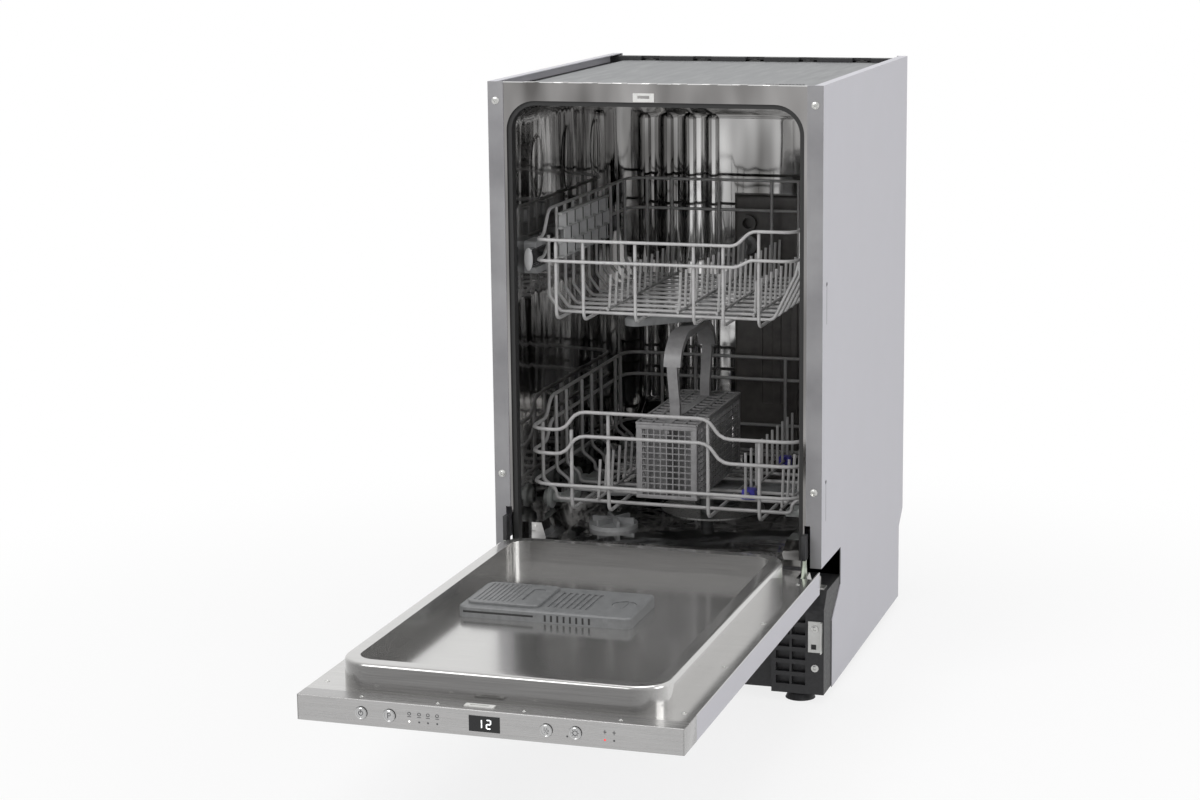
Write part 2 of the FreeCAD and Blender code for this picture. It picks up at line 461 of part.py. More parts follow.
# Salt cap of the softener, seated in the tub floor
salt = cyl(SALT_R - 6 - FIT, (SALT_X, SALT_Y, FLOOR_Z - 12), (SALT_X, SALT_Y, FLOOR_Z + 2))
salt = salt.fuse(cyl(SALT_R, (SALT_X, SALT_Y, FLOOR_Z), (SALT_X, SALT_Y, FLOOR_Z + 6)))
for k in range(3):
    rib = box(SALT_X - SALT_R + 4, SALT_X + SALT_R - 4, SALT_Y - 2, SALT_Y + 2, FLOOR_Z + 5, FLOOR_Z + 14)
    rib.rotate(V(SALT_X, SALT_Y, 0), V(0, 0, 1), 60 * k)
    salt = salt.fuse(rib)
save("salt_cap", salt.removeSplitter())

# Water inlet at the back
INLET_R = 13.2
valve = fuse([box(INLET_X - 20, INLET_X + 20, BASE_REAR - 36, BASE_REAR - 4, INLET_Z - 20, INLET_Z + 20),
              cyl(INLET_R, (INLET_X, BASE_REAR - 6, INLET_Z), (INLET_X, DEPTH - 8, INLET_Z))])
save("inlet_valve", valve.cut(cyl(7, (INLET_X, BASE_REAR - 20, INLET_Z), (INLET_X, DEPTH, INLET_Z))))

# Feed duct on the rear wall with two docking ports for the upper basket
PORT_X, PORT_ZS = 0.0, (540.0, 571.0)
duct = box(DUCT_X0, DUCT_X1, DUCT_Y, TUB_REAR, DUCT_Z0, DUCT_Z1)
duct = duct.makeFillet(6, [e for e in duct.Edges if e.CenterOfMass.y < DUCT_Y + 0.1])
duct = duct.fuse(box(20, 60, TUB_REAR - 25, TUB_REAR, FLOOR_Z, DUCT_Z0 + 10))
for z in PORT_ZS:
    duct = duct.fuse(cyl(12, (PORT_X, DUCT_Y - 9, z), (PORT_X, DUCT_Y + 2, z)))
    duct = duct.cut(cyl(8, (PORT_X, DUCT_Y - 10, z), (PORT_X, DUCT_Y + 6, z)))
for k in range(2):
    x = 20 + 28 * k
    duct = duct.cut(rounded_plate(x, x + 16, DUCT_Y - 1, DUCT_Y + 2, 300, 520, 1.4))
save("spray_feed_duct", duct.removeSplitter())


def spray_arm(reach, wide, z0, z1, hub_r, bore, at_y, turn):
    """Blade tapering to round tips, hub below, ribs of nozzles along the top."""
    tip = wide * 0.42
    outline = [V(-reach + tip, -tip, z0), V(-30, -wide / 2, z0), V(30, -wide / 2, z0),
               V(reach - tip, -tip, z0), V(reach, 0, z0), V(reach - tip, tip, z0), V(30, wide / 2, z0),
               V(-30, wide / 2, z0), V(-reach + tip, tip, z0), V(-reach, 0, z0)]
    edges = [Part.makeLine(a, b) for a, b in zip(outline[:3], outline[1:4])]
    edges.append(Part.Arc(outline[3], outline[4], outline[5]).toShape())
    edges += [Part.makeLine(a, b) for a, b in zip(outline[5:8], outline[6:9])]
    edges.append(Part.Arc(outline[8], outline[9], outline[0]).toShape())
    blade = Part.Face(Part.Wire(edges)).extrude(V(0, 0, z1 - z0))
    blade = blade.makeChamfer(2.5, [e for e in blade.Edges if e.CenterOfMass.z > z1 - 0.1])
    hub = Part.makeCylinder(hub_r, z1 - z0 + 2, V(0, 0, z0))
    arm = blade.fuse(hub).cut(cyl(5.5, (0, 0, bore[0]), (0, 0, bore[1])))
    for share in (-0.82, -0.6, -0.38, 0.38, 0.6, 0.82):
        arm = arm.cut(Part.makeBox(3, 9, 2, V(share * reach - 1.5, -4.5, z1 - 1)))
    arm.rotate(V(0, 0, 0), V(0, 0, 1), turn)
    arm.translate(V(0, at_y, 0))
    return arm


save("lower_spray_arm", spray_arm(JOG_X - 17, 44, LOW_ARM_Z, LOW_ARM_Z + 11, 17,
                                  (LOW_ARM_Z - 1, LOW_ARM_Z + 9), POST_Y, 20))
UP_ARM_Z = 468.0
save("upper_spray_arm", spray_arm(UP_HALF - 50, 36, UP_ARM_Z, UP_ARM_Z + 11, 15,
                                  (UP_ARM_Z + 2, UP_ARM_Z + 14), ARM_Y, 45))


def tine_row(x, ys, z0, height, lean, size=TINE_WIRE):
    """Row of leaning tines on a carrying rod along Y."""
    rod = wire([(x, ys[0] - 8, z0), (x, ys[-1] + 8, z0)], size)
    return [rod] + [wire([(x, y, z0 + size / 2), (x, y + lean, z0 + height)], size, 6) for y in ys]


# Lower basket: two stepped rims, a plain low rim, U wires both ways, fixed tines
def rim(half, y0, y1, high, low, corner, size, front_x0, front_x1):
    """Rim wire that dips at the front corners, butt welded at the middle of the back."""
    gap = 0.1
    pts = [(gap, y1, high), (half, y1, high), (half, y0 + 92, high), (half, y0 + 70, low), (half, y0, low),
           (front_x1 + 16, y0, low), (front_x1, y0, high), (front_x0, y0, high), (front_x0 - 16, y0, low),
           (-half, y0, low), (-half, y0 + 70, low), (-half, y0 + 92, high), (-half, y1, high),
           (-gap, y1, high)]
    return wire(bent(pts, corner), size)


DIP_X0, DIP_X1 = -LOW_HALF + 66, LOW_HALF - 126
low_rims = [rim(LOW_HALF, LOW_FRONT, LOW_REAR, z, z - LOW_DIP, 24, LOW_WIRE, DIP_X0, DIP_X1)
            for z in (LOW_TOP, LOW_MID)]
in_x, in_y0, in_y1 = LOW_HALF - LOW_WIRE, LOW_FRONT + LOW_WIRE, LOW_REAR - LOW_WIRE
LOW_US = (-LOW_HALF + 58, CUT_X0 - 20, CUT_X1 + 32, LOW_HALF - 58)
ring_plan = [(0.1, LOW_REAR), (LOW_HALF, LOW_REAR), (LOW_HALF, LOW_FRONT), (-LOW_HALF, LOW_FRONT),
             (-LOW_HALF, LOW_REAR), (-0.1, LOW_REAR)]
low_ring = wire(bent([(x, y, LOW_LOW) for x, y in ring_plan], 30), LOW_WIRE)


def low_front_top(x):
    return LOW_TOP if DIP_X0 < x < DIP_X1 else LOW_TOP - LOW_DIP


long_us = []
for x in LOW_US:
    path = [(x, in_y0, low_front_top(x)), (x, in_y0, LOW_FLOOR), (x, in_y1, LOW_FLOOR), (x, in_y1, LOW_TOP)]
    long_us.append(wire(bent(path, 12), LOW_WIRE))
cross_z = LOW_FLOOR + LOW_WIRE
cross_us = []
for y in LOW_CROSS:
    top = LOW_TOP if y > LOW_FRONT + 92 else LOW_TOP - LOW_DIP
    left = [(-in_x, y, top), (-in_x, y, JOG_Z + 8), (-JOG_X, y, JOG_Z - 6), (-JOG_X, y, cross_z)]
    right = [(-px, py, pz) for px, py, pz in reversed(left)]
    cross_us.append(wire(bent(left + right, 9, 2), LOW_WIRE))
save("lower_basket_rims", *low_rims, low_ring)
save("lower_basket_wires", *long_us, *cross_us)
TINE_Z = cross_z + LOW_WIRE / 2 + TINE_WIRE / 2
left_ys = spread(LOW_FRONT + 40, LOW_REAR - 44, 13)
right_ys = spread(LOW_FRONT + 48, LOW_REAR - 44, 12)
left_row = tine_row(-LOW_HALF + 84, left_ys, TINE_Z, 52, 10)
right_row = tine_row(LOW_HALF - 38, right_ys, TINE_Z, 58, 10)
save("lower_tines", *left_row, *right_row)

# Folding tine row held by two clips
FOLD_X, FOLD_Z = LOW_HALF - 96, TINE_Z + 6.0
fold_ys = spread(LOW_FRONT + 80, LOW_REAR - 94, 10)
save("folding_tines", *tine_row(FOLD_X, fold_ys, FOLD_Z, 60, 0))
clips = []
for y in (LOW_CROSS[1], LOW_CROSS[5]):
    block = box(FOLD_X - 9, FOLD_X + 9, y - 7, y + 7, cross_z + LOW_WIRE / 2, FOLD_Z + 6)
    block = block.makeFillet(3, [e for e in block.Edges if abs(e.tangentAt(e.FirstParameter).y) > 0.9
                                 and e.CenterOfMass.z > FOLD_Z])
    clips.append(block.cut(cyl(TINE_WIRE / 2 + 0.9, (FOLD_X, y - 8, FOLD_Z), (FOLD_X, y + 8, FOLD_Z))))
save("tine_clips", *clips)

# Wheels with hub flange, on stub axles carried by the side wires
for k, y in enumerate(WHEEL_YS, 1):
    profile = [(3.4, WHEEL_T / 2), (3.4, -WHEEL_T / 2), (WHEEL_R - 5, -WHEEL_T / 2), (WHEEL_R - 5, -2),
               (WHEEL_R - 2, -2), (WHEEL_R, -4), (WHEEL_R, 4), (WHEEL_R - 2, WHEEL_T / 2),
               (WHEEL_R - 8, WHEEL_T / 2 - 3), (8, WHEEL_T / 2 - 3), (7, WHEEL_T / 2)]
    half = Part.Face(Part.makePolygon([V(WHEEL_X + a, y, AXLE_Z + r) for r, a in profile + profile[:1]]))
    wheel = half.revolve(V(WHEEL_X, y, AXLE_Z), V(1, 0, 0), 360)
    save("wheels_%d" % k, wheel, mirror(wheel))
axles = []
for y in WHEEL_YS:
    stub = cyl(3, (JOG_X - 4, y, AXLE_Z), (WHEEL_X + WHEEL_T / 2, y, AXLE_Z))
    disc = cyl(7, (JOG_X + 2, y, AXLE_Z), (WHEEL_X - WHEEL_T / 2 - 0.6, y, AXLE_Z))
    near = min(LOW_CROSS, key=lambda c: abs(c - y))
    arm = box(JOG_X - 14, JOG_X + 4, min(y, near) - 6, max(y, near) + 6, AXLE_Z - 5, cross_z - LOW_WIRE / 2)
    axle = fuse([stub, disc, arm])
    axles += [axle, mirror(axle)]
save("wheel_axles", *axles)

# Cutlery basket: lattice box, two slotted flaps, arched handle through the middle
windows = []
rows, ends, sides = 4, 5, 12
pitch_z = (CUT_Z1 - CUT_Z0 - 16) / rows
pitch_x = (CUT_X1 - CUT_X0 - 14) / ends
pitch_y = (CUT_Y1 - CUT_Y0 - 14) / sides
for r in range(rows):
    z = CUT_Z0 + 7 + pitch_z * r
    for c in range(ends):
        x = CUT_X0 + 7 + pitch_x * c
        windows.append(box(x + 1.5, x + pitch_x - 1.5, CUT_Y0 - 1, CUT_Y1 + 1, z + 1.5, z + pitch_z - 1.5))
    for c in range(sides):
        y = CUT_Y0 + 7 + pitch_y * c
        windows.append(box(CUT_X0 - 1, CUT_X1 + 1, y + 1.5, y + pitch_y - 1.5, z + 1.5, z + pitch_z - 1.5))
for c in range(sides):
    y = CUT_Y0 + 7 + pitch_y * c
    for x in (CUT_X0 + 8, (CUT_X0 + CUT_X1) / 2 + 4):
        windows.append(box(x, x + 31, y + 2, y + pitch_y - 2, CUT_Z0 - 1, CUT_Z0 + 3))
CUT_MID = (CUT_X0 + CUT_X1) / 2
FLAP_T, FLAP_GAP = 3.0, 0.4
spine = box(CUT_MID - 3, CUT_MID + 3, CUT_Y0 + CUT_WALL, CUT_Y1 - CUT_WALL, CUT_Z1 - 12, CUT_Z1 + FLAP_T)
cut_in = (CUT_X0 + CUT_WALL, CUT_X1 - CUT_WALL, CUT_Y0 + CUT_WALL, CUT_Y1 - CUT_WALL)
walls = [box(CUT_X0, CUT_X1, CUT_Y0, cut_in[2], CUT_Z0, CUT_Z1),
         box(CUT_X0, CUT_X1, cut_in[3], CUT_Y1, CUT_Z0, CUT_Z1),
         box(CUT_X0, cut_in[0], cut_in[2], cut_in[3], CUT_Z0, CUT_Z1),
         box(cut_in[1], CUT_X1, cut_in[2], cut_in[3], CUT_Z0, CUT_Z1),
         box(*cut_in, CUT_Z0, CUT_Z0 + CUT_WALL)]
grid = Part.makeCompound(windows)
save("cutlery_basket", *[wall.cut(grid) for wall in walls], spine)
FLAP_SLOTS = 6
LEG_W, GRIP_W, HANDLE_T = 14.0, 24.0, 9.0
LEG_YS = (CUT_Y0 + 47, CUT_Y1 - 34)
HANDLE_Z = CUT_Z1 + 113
flap = box(CUT_MID + 3 + FLAP_GAP, CUT_X1, CUT_Y0, CUT_Y1, CUT_Z1, CUT_Z1 + FLAP_T)
pitch = (CUT_Y1 - CUT_Y0 - 8) / FLAP_SLOTS
for k in range(FLAP_SLOTS):
    y = CUT_Y0 + 4 + pitch * k
    flap = flap.cut(box(CUT_MID + 9, CUT_X1 - 5, y + 3, y + pitch - 3, CUT_Z1 - 1, CUT_Z1 + FLAP_T + 1))
for y in LEG_YS:
    leg_gap = box(CUT_MID, CUT_MID + LEG_W / 2 + 1.2, y - HANDLE_T, y + HANDLE_T, CUT_Z1 - 1, CUT_Z1 + 9)
    flap = flap.cut(leg_gap)
save("cutlery_flap_right", flap)
left_flap = flap.mirror(V(CUT_MID, 0, 0), V(1, 0, 0))
save("cutlery_flap_left", left_flap)
bow = [(LEG_YS[0], CUT_Z1 + FLAP_T), (LEG_YS[0], CUT_Z1 + 21), (LEG_YS[0] - 18, HANDLE_Z - 26),
       (LEG_YS[0] + 20, HANDLE_Z), (LEG_YS[1] - 24, HANDLE_Z), (LEG_YS[1] + 18, HANDLE_Z - 26),
       (LEG_YS[1], CUT_Z1 + 21), (LEG_YS[1], CUT_Z1 + FLAP_T)]
bow_line = bent([(CUT_MID, y, z) for y, z in bow], 40, 4)
outer, inner = [], []
for before, here, after in zip(bow_line[:1] + bow_line, bow_line, bow_line[1:] + bow_line[-1:]):
    run = after - before
    run.normalize()
    side_step = V(0, -run.z, run.y) * (HANDLE_T / 2)
    outer.append(here + side_step)
    inner.append(here - side_step)
bow_face = [(0, p.y, p.z) for p in outer + inner[::-1]]
band = prism(bow_face, (CUT_MID - LEG_W / 2, 0, 0), (LEG_W, 0, 0))
wide = prism(bow_face, (CUT_MID - GRIP_W / 2, 0, 0), (GRIP_W, 0, 0))
grip = wide.common(box(CUT_MID - GRIP_W, CUT_MID + GRIP_W, CUT_Y0, CUT_Y1, HANDLE_Z - 38, HANDLE_Z + 22))
save("cutlery_handle", fuse([band, grip]))


# Upper basket: stepped front, straight left wall, slanted right wall, floor wires and tines
def up_rim(front, right_front, side, gap=0.1):
    pts = [(gap, UP_REAR, side), (UP_HALF, UP_REAR, side), (UP_HALF, UP_FRONT + 60, side),
           (UP_HALF, UP_FRONT + 36, right_front), (UP_HALF, UP_FRONT, right_front),
           (UP_HALF - 60, UP_FRONT, right_front), (UP_HALF - 80, UP_FRONT, front),
           (-UP_HALF, UP_FRONT, front), (-UP_HALF, UP_FRONT + 36, front), (-UP_HALF, UP_FRONT + 60, side),
           (-UP_HALF, UP_REAR, side), (-gap, UP_REAR, side)]
    return wire(bent(pts, 20), UP_WIRE)


up_in_x, up_y0, up_y1 = UP_HALF - UP_WIRE, UP_FRONT + UP_WIRE, UP_REAR - UP_WIRE
SLANT_X = UP_HALF - 40
save("upper_basket_rims", up_rim(UP_LOW, UP_STEP, UP_TOP), up_rim(UP_LOW - 28, UP_BEND, UP_TOP - 44))
up_long = []
for x in (-UP_HALF + 28, -UP_HALF + 66, -40.0, 40.0, UP_HALF - 98, UP_HALF - 50):
    top = UP_STEP if x > UP_HALF - 68 else UP_LOW
    path = [(x, up_y0, top), (x, up_y0, UP_FLOOR), (x, up_y1, UP_FLOOR), (x, up_y1, UP_TOP)]
    up_long.append(wire(bent(path, 12), UP_WIRE))
up_cross = []
cross_up_z = UP_FLOOR + UP_WIRE
UP_CROSS = spread(UP_FRONT + 45, UP_REAR - 40, 11)
for y in UP_CROSS:
    top = UP_TOP if y > UP_FRONT + 62 else UP_LOW
    right_top = UP_TOP if y > UP_FRONT + 62 else UP_STEP
    path = [(-up_in_x, y, top), (-up_in_x, y, UP_FLOOR + 25), (-up_in_x + 16, y, cross_up_z),
            (SLANT_X, y, cross_up_z), (up_in_x - 6, y, UP_BEND - 24), (up_in_x, y, UP_BEND),
            (up_in_x, y, right_top)]
    up_cross.append(wire(bent(path, 9, 2), UP_WIRE))
save("upper_basket_wires", *up_long, *up_cross)
UP_TINE_Z = cross_up_z + UP_WIRE / 2 + TINE_WIRE / 2
up_ys = spread(UP_FRONT + 55, UP_REAR - 44, 13)
up_rows = []
for x, height in ((-UP_HALF + 86, 46), (6.0, 52), (UP_HALF - 118, 52), (UP_HALF - 68, 44)):
    up_rows += tine_row(x, up_ys, UP_TINE_Z, height, 8)
save("upper_tines", *up_rows)

# Folding cup shelf of corrugated plastic, its round rod snapped against the left wall wires
ROD_R = 2.2
SHELF_X = -up_in_x + UP_WIRE / 2 + FIT + ROD_R
SHELF_Z, SHELF_W = 566.0, 60.0
SHELF_Y0, SHELF_Y1 = 118.0, 330.0
waves = 12
step = (SHELF_Y1 - SHELF_Y0) / waves
crest = [(SHELF_X + (3.4 if k % 2 else 0.4), SHELF_Y0 + step * k) for k in range(waves + 1)]
back_line = [(x - 1.8, y) for x, y in reversed(crest)]
shelf = prism([(x, y, 0) for x, y in crest + back_line], (0, 0, SHELF_Z), (0, 0, SHELF_W))
lip = box(SHELF_X - 1.4, SHELF_X + 3.4, SHELF_Y0, SHELF_Y1, SHELF_Z + SHELF_W - 1, SHELF_Z + SHELF_W + 4)
rod = cyl(ROD_R, (SHELF_X, SHELF_Y0, SHELF_Z), (SHELF_X, SHELF_Y1, SHELF_Z))
save("cup_shelf", fuse([shelf, lip, rod]))

# Feed pipe under the basket from the rear dock to the arm, with the arm's spindle
pipe_z = UP_FLOOR - 6
wire_under = cross_up_z - UP_WIRE / 2
pipe_y = DUCT_Y - 37
pipe = fuse([cyl(6, (PORT_X, ARM_Y, pipe_z), (PORT_X, pipe_y, pipe_z)),
             cyl(13, (0, ARM_Y, UP_ARM_Z + 14), (0, ARM_Y, wire_under)),
             cyl(7, (PORT_X, pipe_y, pipe_z - 6), (PORT_X, pipe_y, PORT_ZS[0] + 7.5)),
             cyl(8, (PORT_X, pipe_y - 4, PORT_ZS[0]), (PORT_X, DUCT_Y - 11, PORT_ZS[0])),
             cyl(15, (PORT_X, DUCT_Y - 16, PORT_ZS[0]), (PORT_X, DUCT_Y - 11, PORT_ZS[0])),
             cyl(5, (0, ARM_Y, UP_ARM_Z + 4), (0, ARM_Y, pipe_z)),
             box(-5, 5, UP_CROSS[-1] - 6, UP_CROSS[-1] + 6, pipe_z, wire_under)])
save("upper_feed_pipe", pipe)

# Telescopic rails of the upper basket, their end caps and the guides on the tub walls
RAIL_X0, RAIL_X1, RAIL_Y0, RAIL_Y1 = OPEN_HALF - 15, OPEN_HALF - 9, 42.0, TUB_REAR - 45
half_h = RAIL_H / 2
rail_section = [(RAIL_X0, RAIL_Z - half_h), (RAIL_X1, RAIL_Z - half_h), (RAIL_X1, RAIL_Z + half_h),
                (RAIL_X0, RAIL_Z + half_h), (RAIL_X0, RAIL_Z + half_h - 3),
                (RAIL_X1 - 1.5, RAIL_Z + half_h - 3), (RAIL_X1 - 1.5, RAIL_Z - half_h + 3),
                (RAIL_X0, RAIL_Z - half_h + 3)]
slide = prism([(x, 0, z) for x, z in rail_section], (0, RAIL_Y0 + 8, 0), (0, RAIL_Y1 - RAIL_Y0 - 8, 0))
save("upper_rails", slide, mirror(slide))
end_cap = box(RAIL_X0 - 1, RAIL_X1 + 1, RAIL_Y0, RAIL_Y0 + 8, RAIL_Z - half_h - 1, RAIL_Z + half_h + 1)
end_cap = end_cap.makeFillet(3, [e for e in end_cap.Edges if abs(e.tangentAt(e.FirstParameter).y) > 0.9])
save("rail_end_caps", end_cap, mirror(end_cap))
guides = []
for y in (62.0, 205.0):
    block = box(RAIL_X1 - 8, OPEN_HALF, y, y + 46, RAIL_Z - half_h - 9, RAIL_Z + half_h + 9)
    block = block.makeFillet(4, [e for e in block.Edges if abs(e.tangentAt(e.FirstParameter).x) > 0.9])
    channel = box(RAIL_X0 - 9, RAIL_X1 + FIT, y - 1, y + 47, RAIL_Z - half_h - FIT, RAIL_Z + half_h + FIT)
    block = block.cut(channel)
    guides += [block, mirror(block)]
save("rail_guides", *guides)

# Basket rollers that ride inside the rails
rollers = []
for y in (165.0, 240.0):
    hub = cyl(half_h - 3 - 0.4, (RAIL_X0 - 2, y, RAIL_Z), (RAIL_X1 - 2, y, RAIL_Z))
    foot = box(up_in_x + UP_WIRE / 2, RAIL_X0 - 1, y - 22, y + 8, RAIL_Z - 7, RAIL_Z + 7)
    rollers += [hub.fuse(foot).removeSplitter(), mirror(hub.fuse(foot).removeSplitter())]
save("basket_rollers", *rollers)
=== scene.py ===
import math

import bmesh
import bpy
from mathutils import Matrix, Vector


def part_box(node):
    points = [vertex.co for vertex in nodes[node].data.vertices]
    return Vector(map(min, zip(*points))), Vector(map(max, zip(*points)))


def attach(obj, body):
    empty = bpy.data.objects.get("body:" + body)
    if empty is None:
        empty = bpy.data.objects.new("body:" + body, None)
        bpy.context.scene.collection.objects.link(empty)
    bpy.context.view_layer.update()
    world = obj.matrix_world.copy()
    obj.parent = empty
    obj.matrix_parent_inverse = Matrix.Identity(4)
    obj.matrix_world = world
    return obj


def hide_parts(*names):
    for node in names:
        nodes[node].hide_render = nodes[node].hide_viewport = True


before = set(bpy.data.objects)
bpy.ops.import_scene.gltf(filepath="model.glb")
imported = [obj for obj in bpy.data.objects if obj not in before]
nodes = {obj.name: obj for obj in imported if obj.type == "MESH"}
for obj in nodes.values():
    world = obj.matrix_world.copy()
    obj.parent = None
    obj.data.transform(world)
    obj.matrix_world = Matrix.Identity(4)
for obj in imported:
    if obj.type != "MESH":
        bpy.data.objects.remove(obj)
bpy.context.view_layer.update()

# Studio: a pale floor that runs off to white, soft lamps above and in front, and the camera that
# looks down on the machine from the front right.
white_rays = ("Is Camera Ray", "Is Glossy Ray", "Is Transmission Ray")


def seen_directly(tree):
    """Number that is 1 on rays that look at a surface and 0 on rays that only light it."""
    path = tree.nodes.new("ShaderNodeLightPath")
    total = path.outputs[white_rays[0]]
    for ray in white_rays[1:]:
        larger = tree.nodes.new("ShaderNodeMath")
        larger.operation = "MAXIMUM"
        tree.links.new(total, larger.inputs[0])
        tree.links.new(path.outputs[ray], larger.inputs[1])
        total = larger.outputs[0]
    return total


sky_light, sky_seen = 0.42, 1.0
world = bpy.data.worlds.new("studio")
world.use_nodes = True
bpy.context.scene.world = world
sky = world.node_tree.nodes["Background"]
sky.inputs["Color"].default_value = (1, 1, 1, 1)
sky_level = world.node_tree.nodes.new("ShaderNodeMapRange")
sky_level.inputs["To Min"].default_value = sky_light
sky_level.inputs["To Max"].default_value = sky_seen
world.node_tree.links.new(seen_directly(world.node_tree), sky_level.inputs["Value"])
world.node_tree.links.new(sky_level.outputs["Result"], sky.inputs["Strength"])

floor_grey, floor_half = 0.86, 120
fade_start, fade_end = 0.5, 1.5
white_near, white_far = 0.82, 1.0
floor_paint = bpy.data.materials.new("studio_floor")
floor_paint.use_nodes = True
floor_tree = floor_paint.node_tree
floor_tree.nodes.remove(floor_tree.nodes["Principled BSDF"])
floor_matt = floor_tree.nodes.new("ShaderNodeBsdfDiffuse")
floor_matt.inputs["Color"].default_value = (floor_grey, floor_grey, floor_grey, 1)
floor_glow = floor_tree.nodes.new("ShaderNodeEmission")
floor_mix = floor_tree.nodes.new("ShaderNodeMixShader")
floor_place = floor_tree.nodes.new("ShaderNodeNewGeometry")
floor_reach = floor_tree.nodes.new("ShaderNodeVectorMath")
floor_reach.operation = "LENGTH"
floor_fade = floor_tree.nodes.new("ShaderNodeMapRange")
floor_fade.interpolation_type = "SMOOTHSTEP"
floor_fade.inputs["From Min"].default_value = fade_start
floor_fade.inputs["From Max"].default_value = fade_end
floor_fade.inputs["To Min"].default_value = white_near
floor_fade.inputs["To Max"].default_value = white_far
floor_tree.links.new(floor_place.outputs["Position"], floor_reach.inputs[0])
floor_tree.links.new(floor_reach.outputs["Value"], floor_fade.inputs["Value"])
floor_share = floor_tree.nodes.new("ShaderNodeMath")
floor_share.operation = "MULTIPLY"
floor_tree.links.new(floor_fade.outputs["Result"], floor_share.inputs[1])
floor_tree.links.new(seen_directly(floor_tree), floor_share.inputs[0])
floor_tree.links.new(floor_share.outputs[0], floor_mix.inputs["Fac"])
floor_tree.links.new(floor_matt.outputs[0], floor_mix.inputs[1])
floor_tree.links.new(floor_glow.outputs[0], floor_mix.inputs[2])
floor_tree.links.new(floor_mix.outputs[0], floor_tree.nodes["Material Output"].inputs["Surface"])
floor_mesh = bpy.data.meshes.new("floor")
floor_bm = bmesh.new()
bmesh.ops.create_grid(floor_bm, x_segments=1, y_segments=1, size=floor_half)
floor_bm.to_mesh(floor_mesh)
floor_bm.free()
floor_mesh.materials.append(floor_paint)
floor = bpy.data.objects.new("floor", floor_mesh)
bpy.context.scene.collection.objects.link(floor)


def lamp(name, place, aim, size, power):
    """Square soft box that points at a place on the machine."""
    light = bpy.data.lights.new(name, "AREA")
    light.energy = power
    light.size = size
    holder = bpy.data.objects.new(name, light)
    holder.location = place
    holder.rotation_mode = "QUATERNION"
    holder.rotation_quaternion = (Vector(aim) - Vector(place)).to_track_quat("-Z", "Y")
    bpy.context.scene.collection.objects.link(holder)


lamp("key_lamp", place=(-1.4, -2.6, 2.6), aim=(0, 0, 0.4), size=1.6, power=50)
lamp("side_lamp", place=(2.8, -0.6, 1.6), aim=(0.1, 0.2, 0.4), size=1.4, power=22)
lamp("top_lamp", place=(0.2, 0.2, 3.0), aim=(0, 0, 0.5), size=1.4, power=24)

front_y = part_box("left_side_panel")[0].y
camera_data = bpy.data.cameras.new("camera")
camera_data.lens = 76.54
camera_data.shift_x = -0.0018
camera_data.shift_y = -0.0336
camera = bpy.data.objects.new("camera", camera_data)
camera_right = Vector((0.9531, 0.3024, -0.0110))
camera_up = Vector((-0.0455, 0.1793, 0.9827))
camera_back = camera_right.cross(camera_up)
camera.matrix_world = Matrix((camera_right, camera_up, camera_back)).transposed().to_4x4()
camera.location = (0.9302, front_y - 3.1336, 1.0707)
bpy.context.scene.collection.objects.link(camera)
bpy.context.scene.camera = camera
bpy.context.scene.view_settings.view_transform = "Standard"


# Side panels of the cabinet: galvanised sheet with folded front, top and rear flanges. Screws through the
# front flanges hold the machine to the kitchen units, and each side has two narrow key slots.
def surface(name, low, high, rough, scale, metal=0.0, stretch=(1, 1, 1), bump=0.1, detail=6, depth=0.0004):
    """Finish whose tone, gloss and relief drift with the grain of the piece; on the tub steel the drifting
    tone is painted reflection.
    """
    dark_end, pale_end = 0.3, 0.7
    made = bpy.data.materials.new(name)
    made.use_nodes = True
    tree = made.node_tree
    shader = tree.nodes["Principled BSDF"]
    shader.inputs["Metallic"].default_value = metal
    where = tree.nodes.new("ShaderNodeTexCoord")
    lay = tree.nodes.new("ShaderNodeMapping")
    lay.inputs["Scale"].default_value = stretch
    grain = tree.nodes.new("ShaderNodeTexNoise")
    grain.inputs["Scale"].default_value = scale
    grain.inputs["Detail"].default_value = detail
    tint = tree.nodes.new("ShaderNodeValToRGB")
    tint.color_ramp.elements[0].position = dark_end
    tint.color_ramp.elements[0].color = (*low, 1)
    tint.color_ramp.elements[1].position = pale_end
    tint.color_ramp.elements[1].color = (*high, 1)
    gloss = tree.nodes.new("ShaderNodeMapRange")
    gloss.inputs["From Min"].default_value = dark_end
    gloss.inputs["From Max"].default_value = pale_end
    gloss.inputs["To Min"].default_value = rough[0]
    gloss.inputs["To Max"].default_value = rough[1]
    relief = tree.nodes.new("ShaderNodeBump")
    relief.inputs["Strength"].default_value = bump
    relief.inputs["Distance"].default_value = depth
    tree.links.new(where.outputs["Object"], lay.inputs["Vector"])
    tree.links.new(lay.outputs["Vector"], grain.inputs["Vector"])
    tree.links.new(grain.outputs["Fac"], tint.inputs["Fac"])
    tree.links.new(grain.outputs["Fac"], gloss.inputs["Value"])
    tree.links.new(grain.outputs["Fac"], relief.inputs["Height"])
    tree.links.new(tint.outputs["Color"], shader.inputs["Base Color"])
    tree.links.new(gloss.outputs["Result"], shader.inputs["Roughness"])
    tree.links.new(relief.outputs["Normal"], shader.inputs["Normal"])
    return made


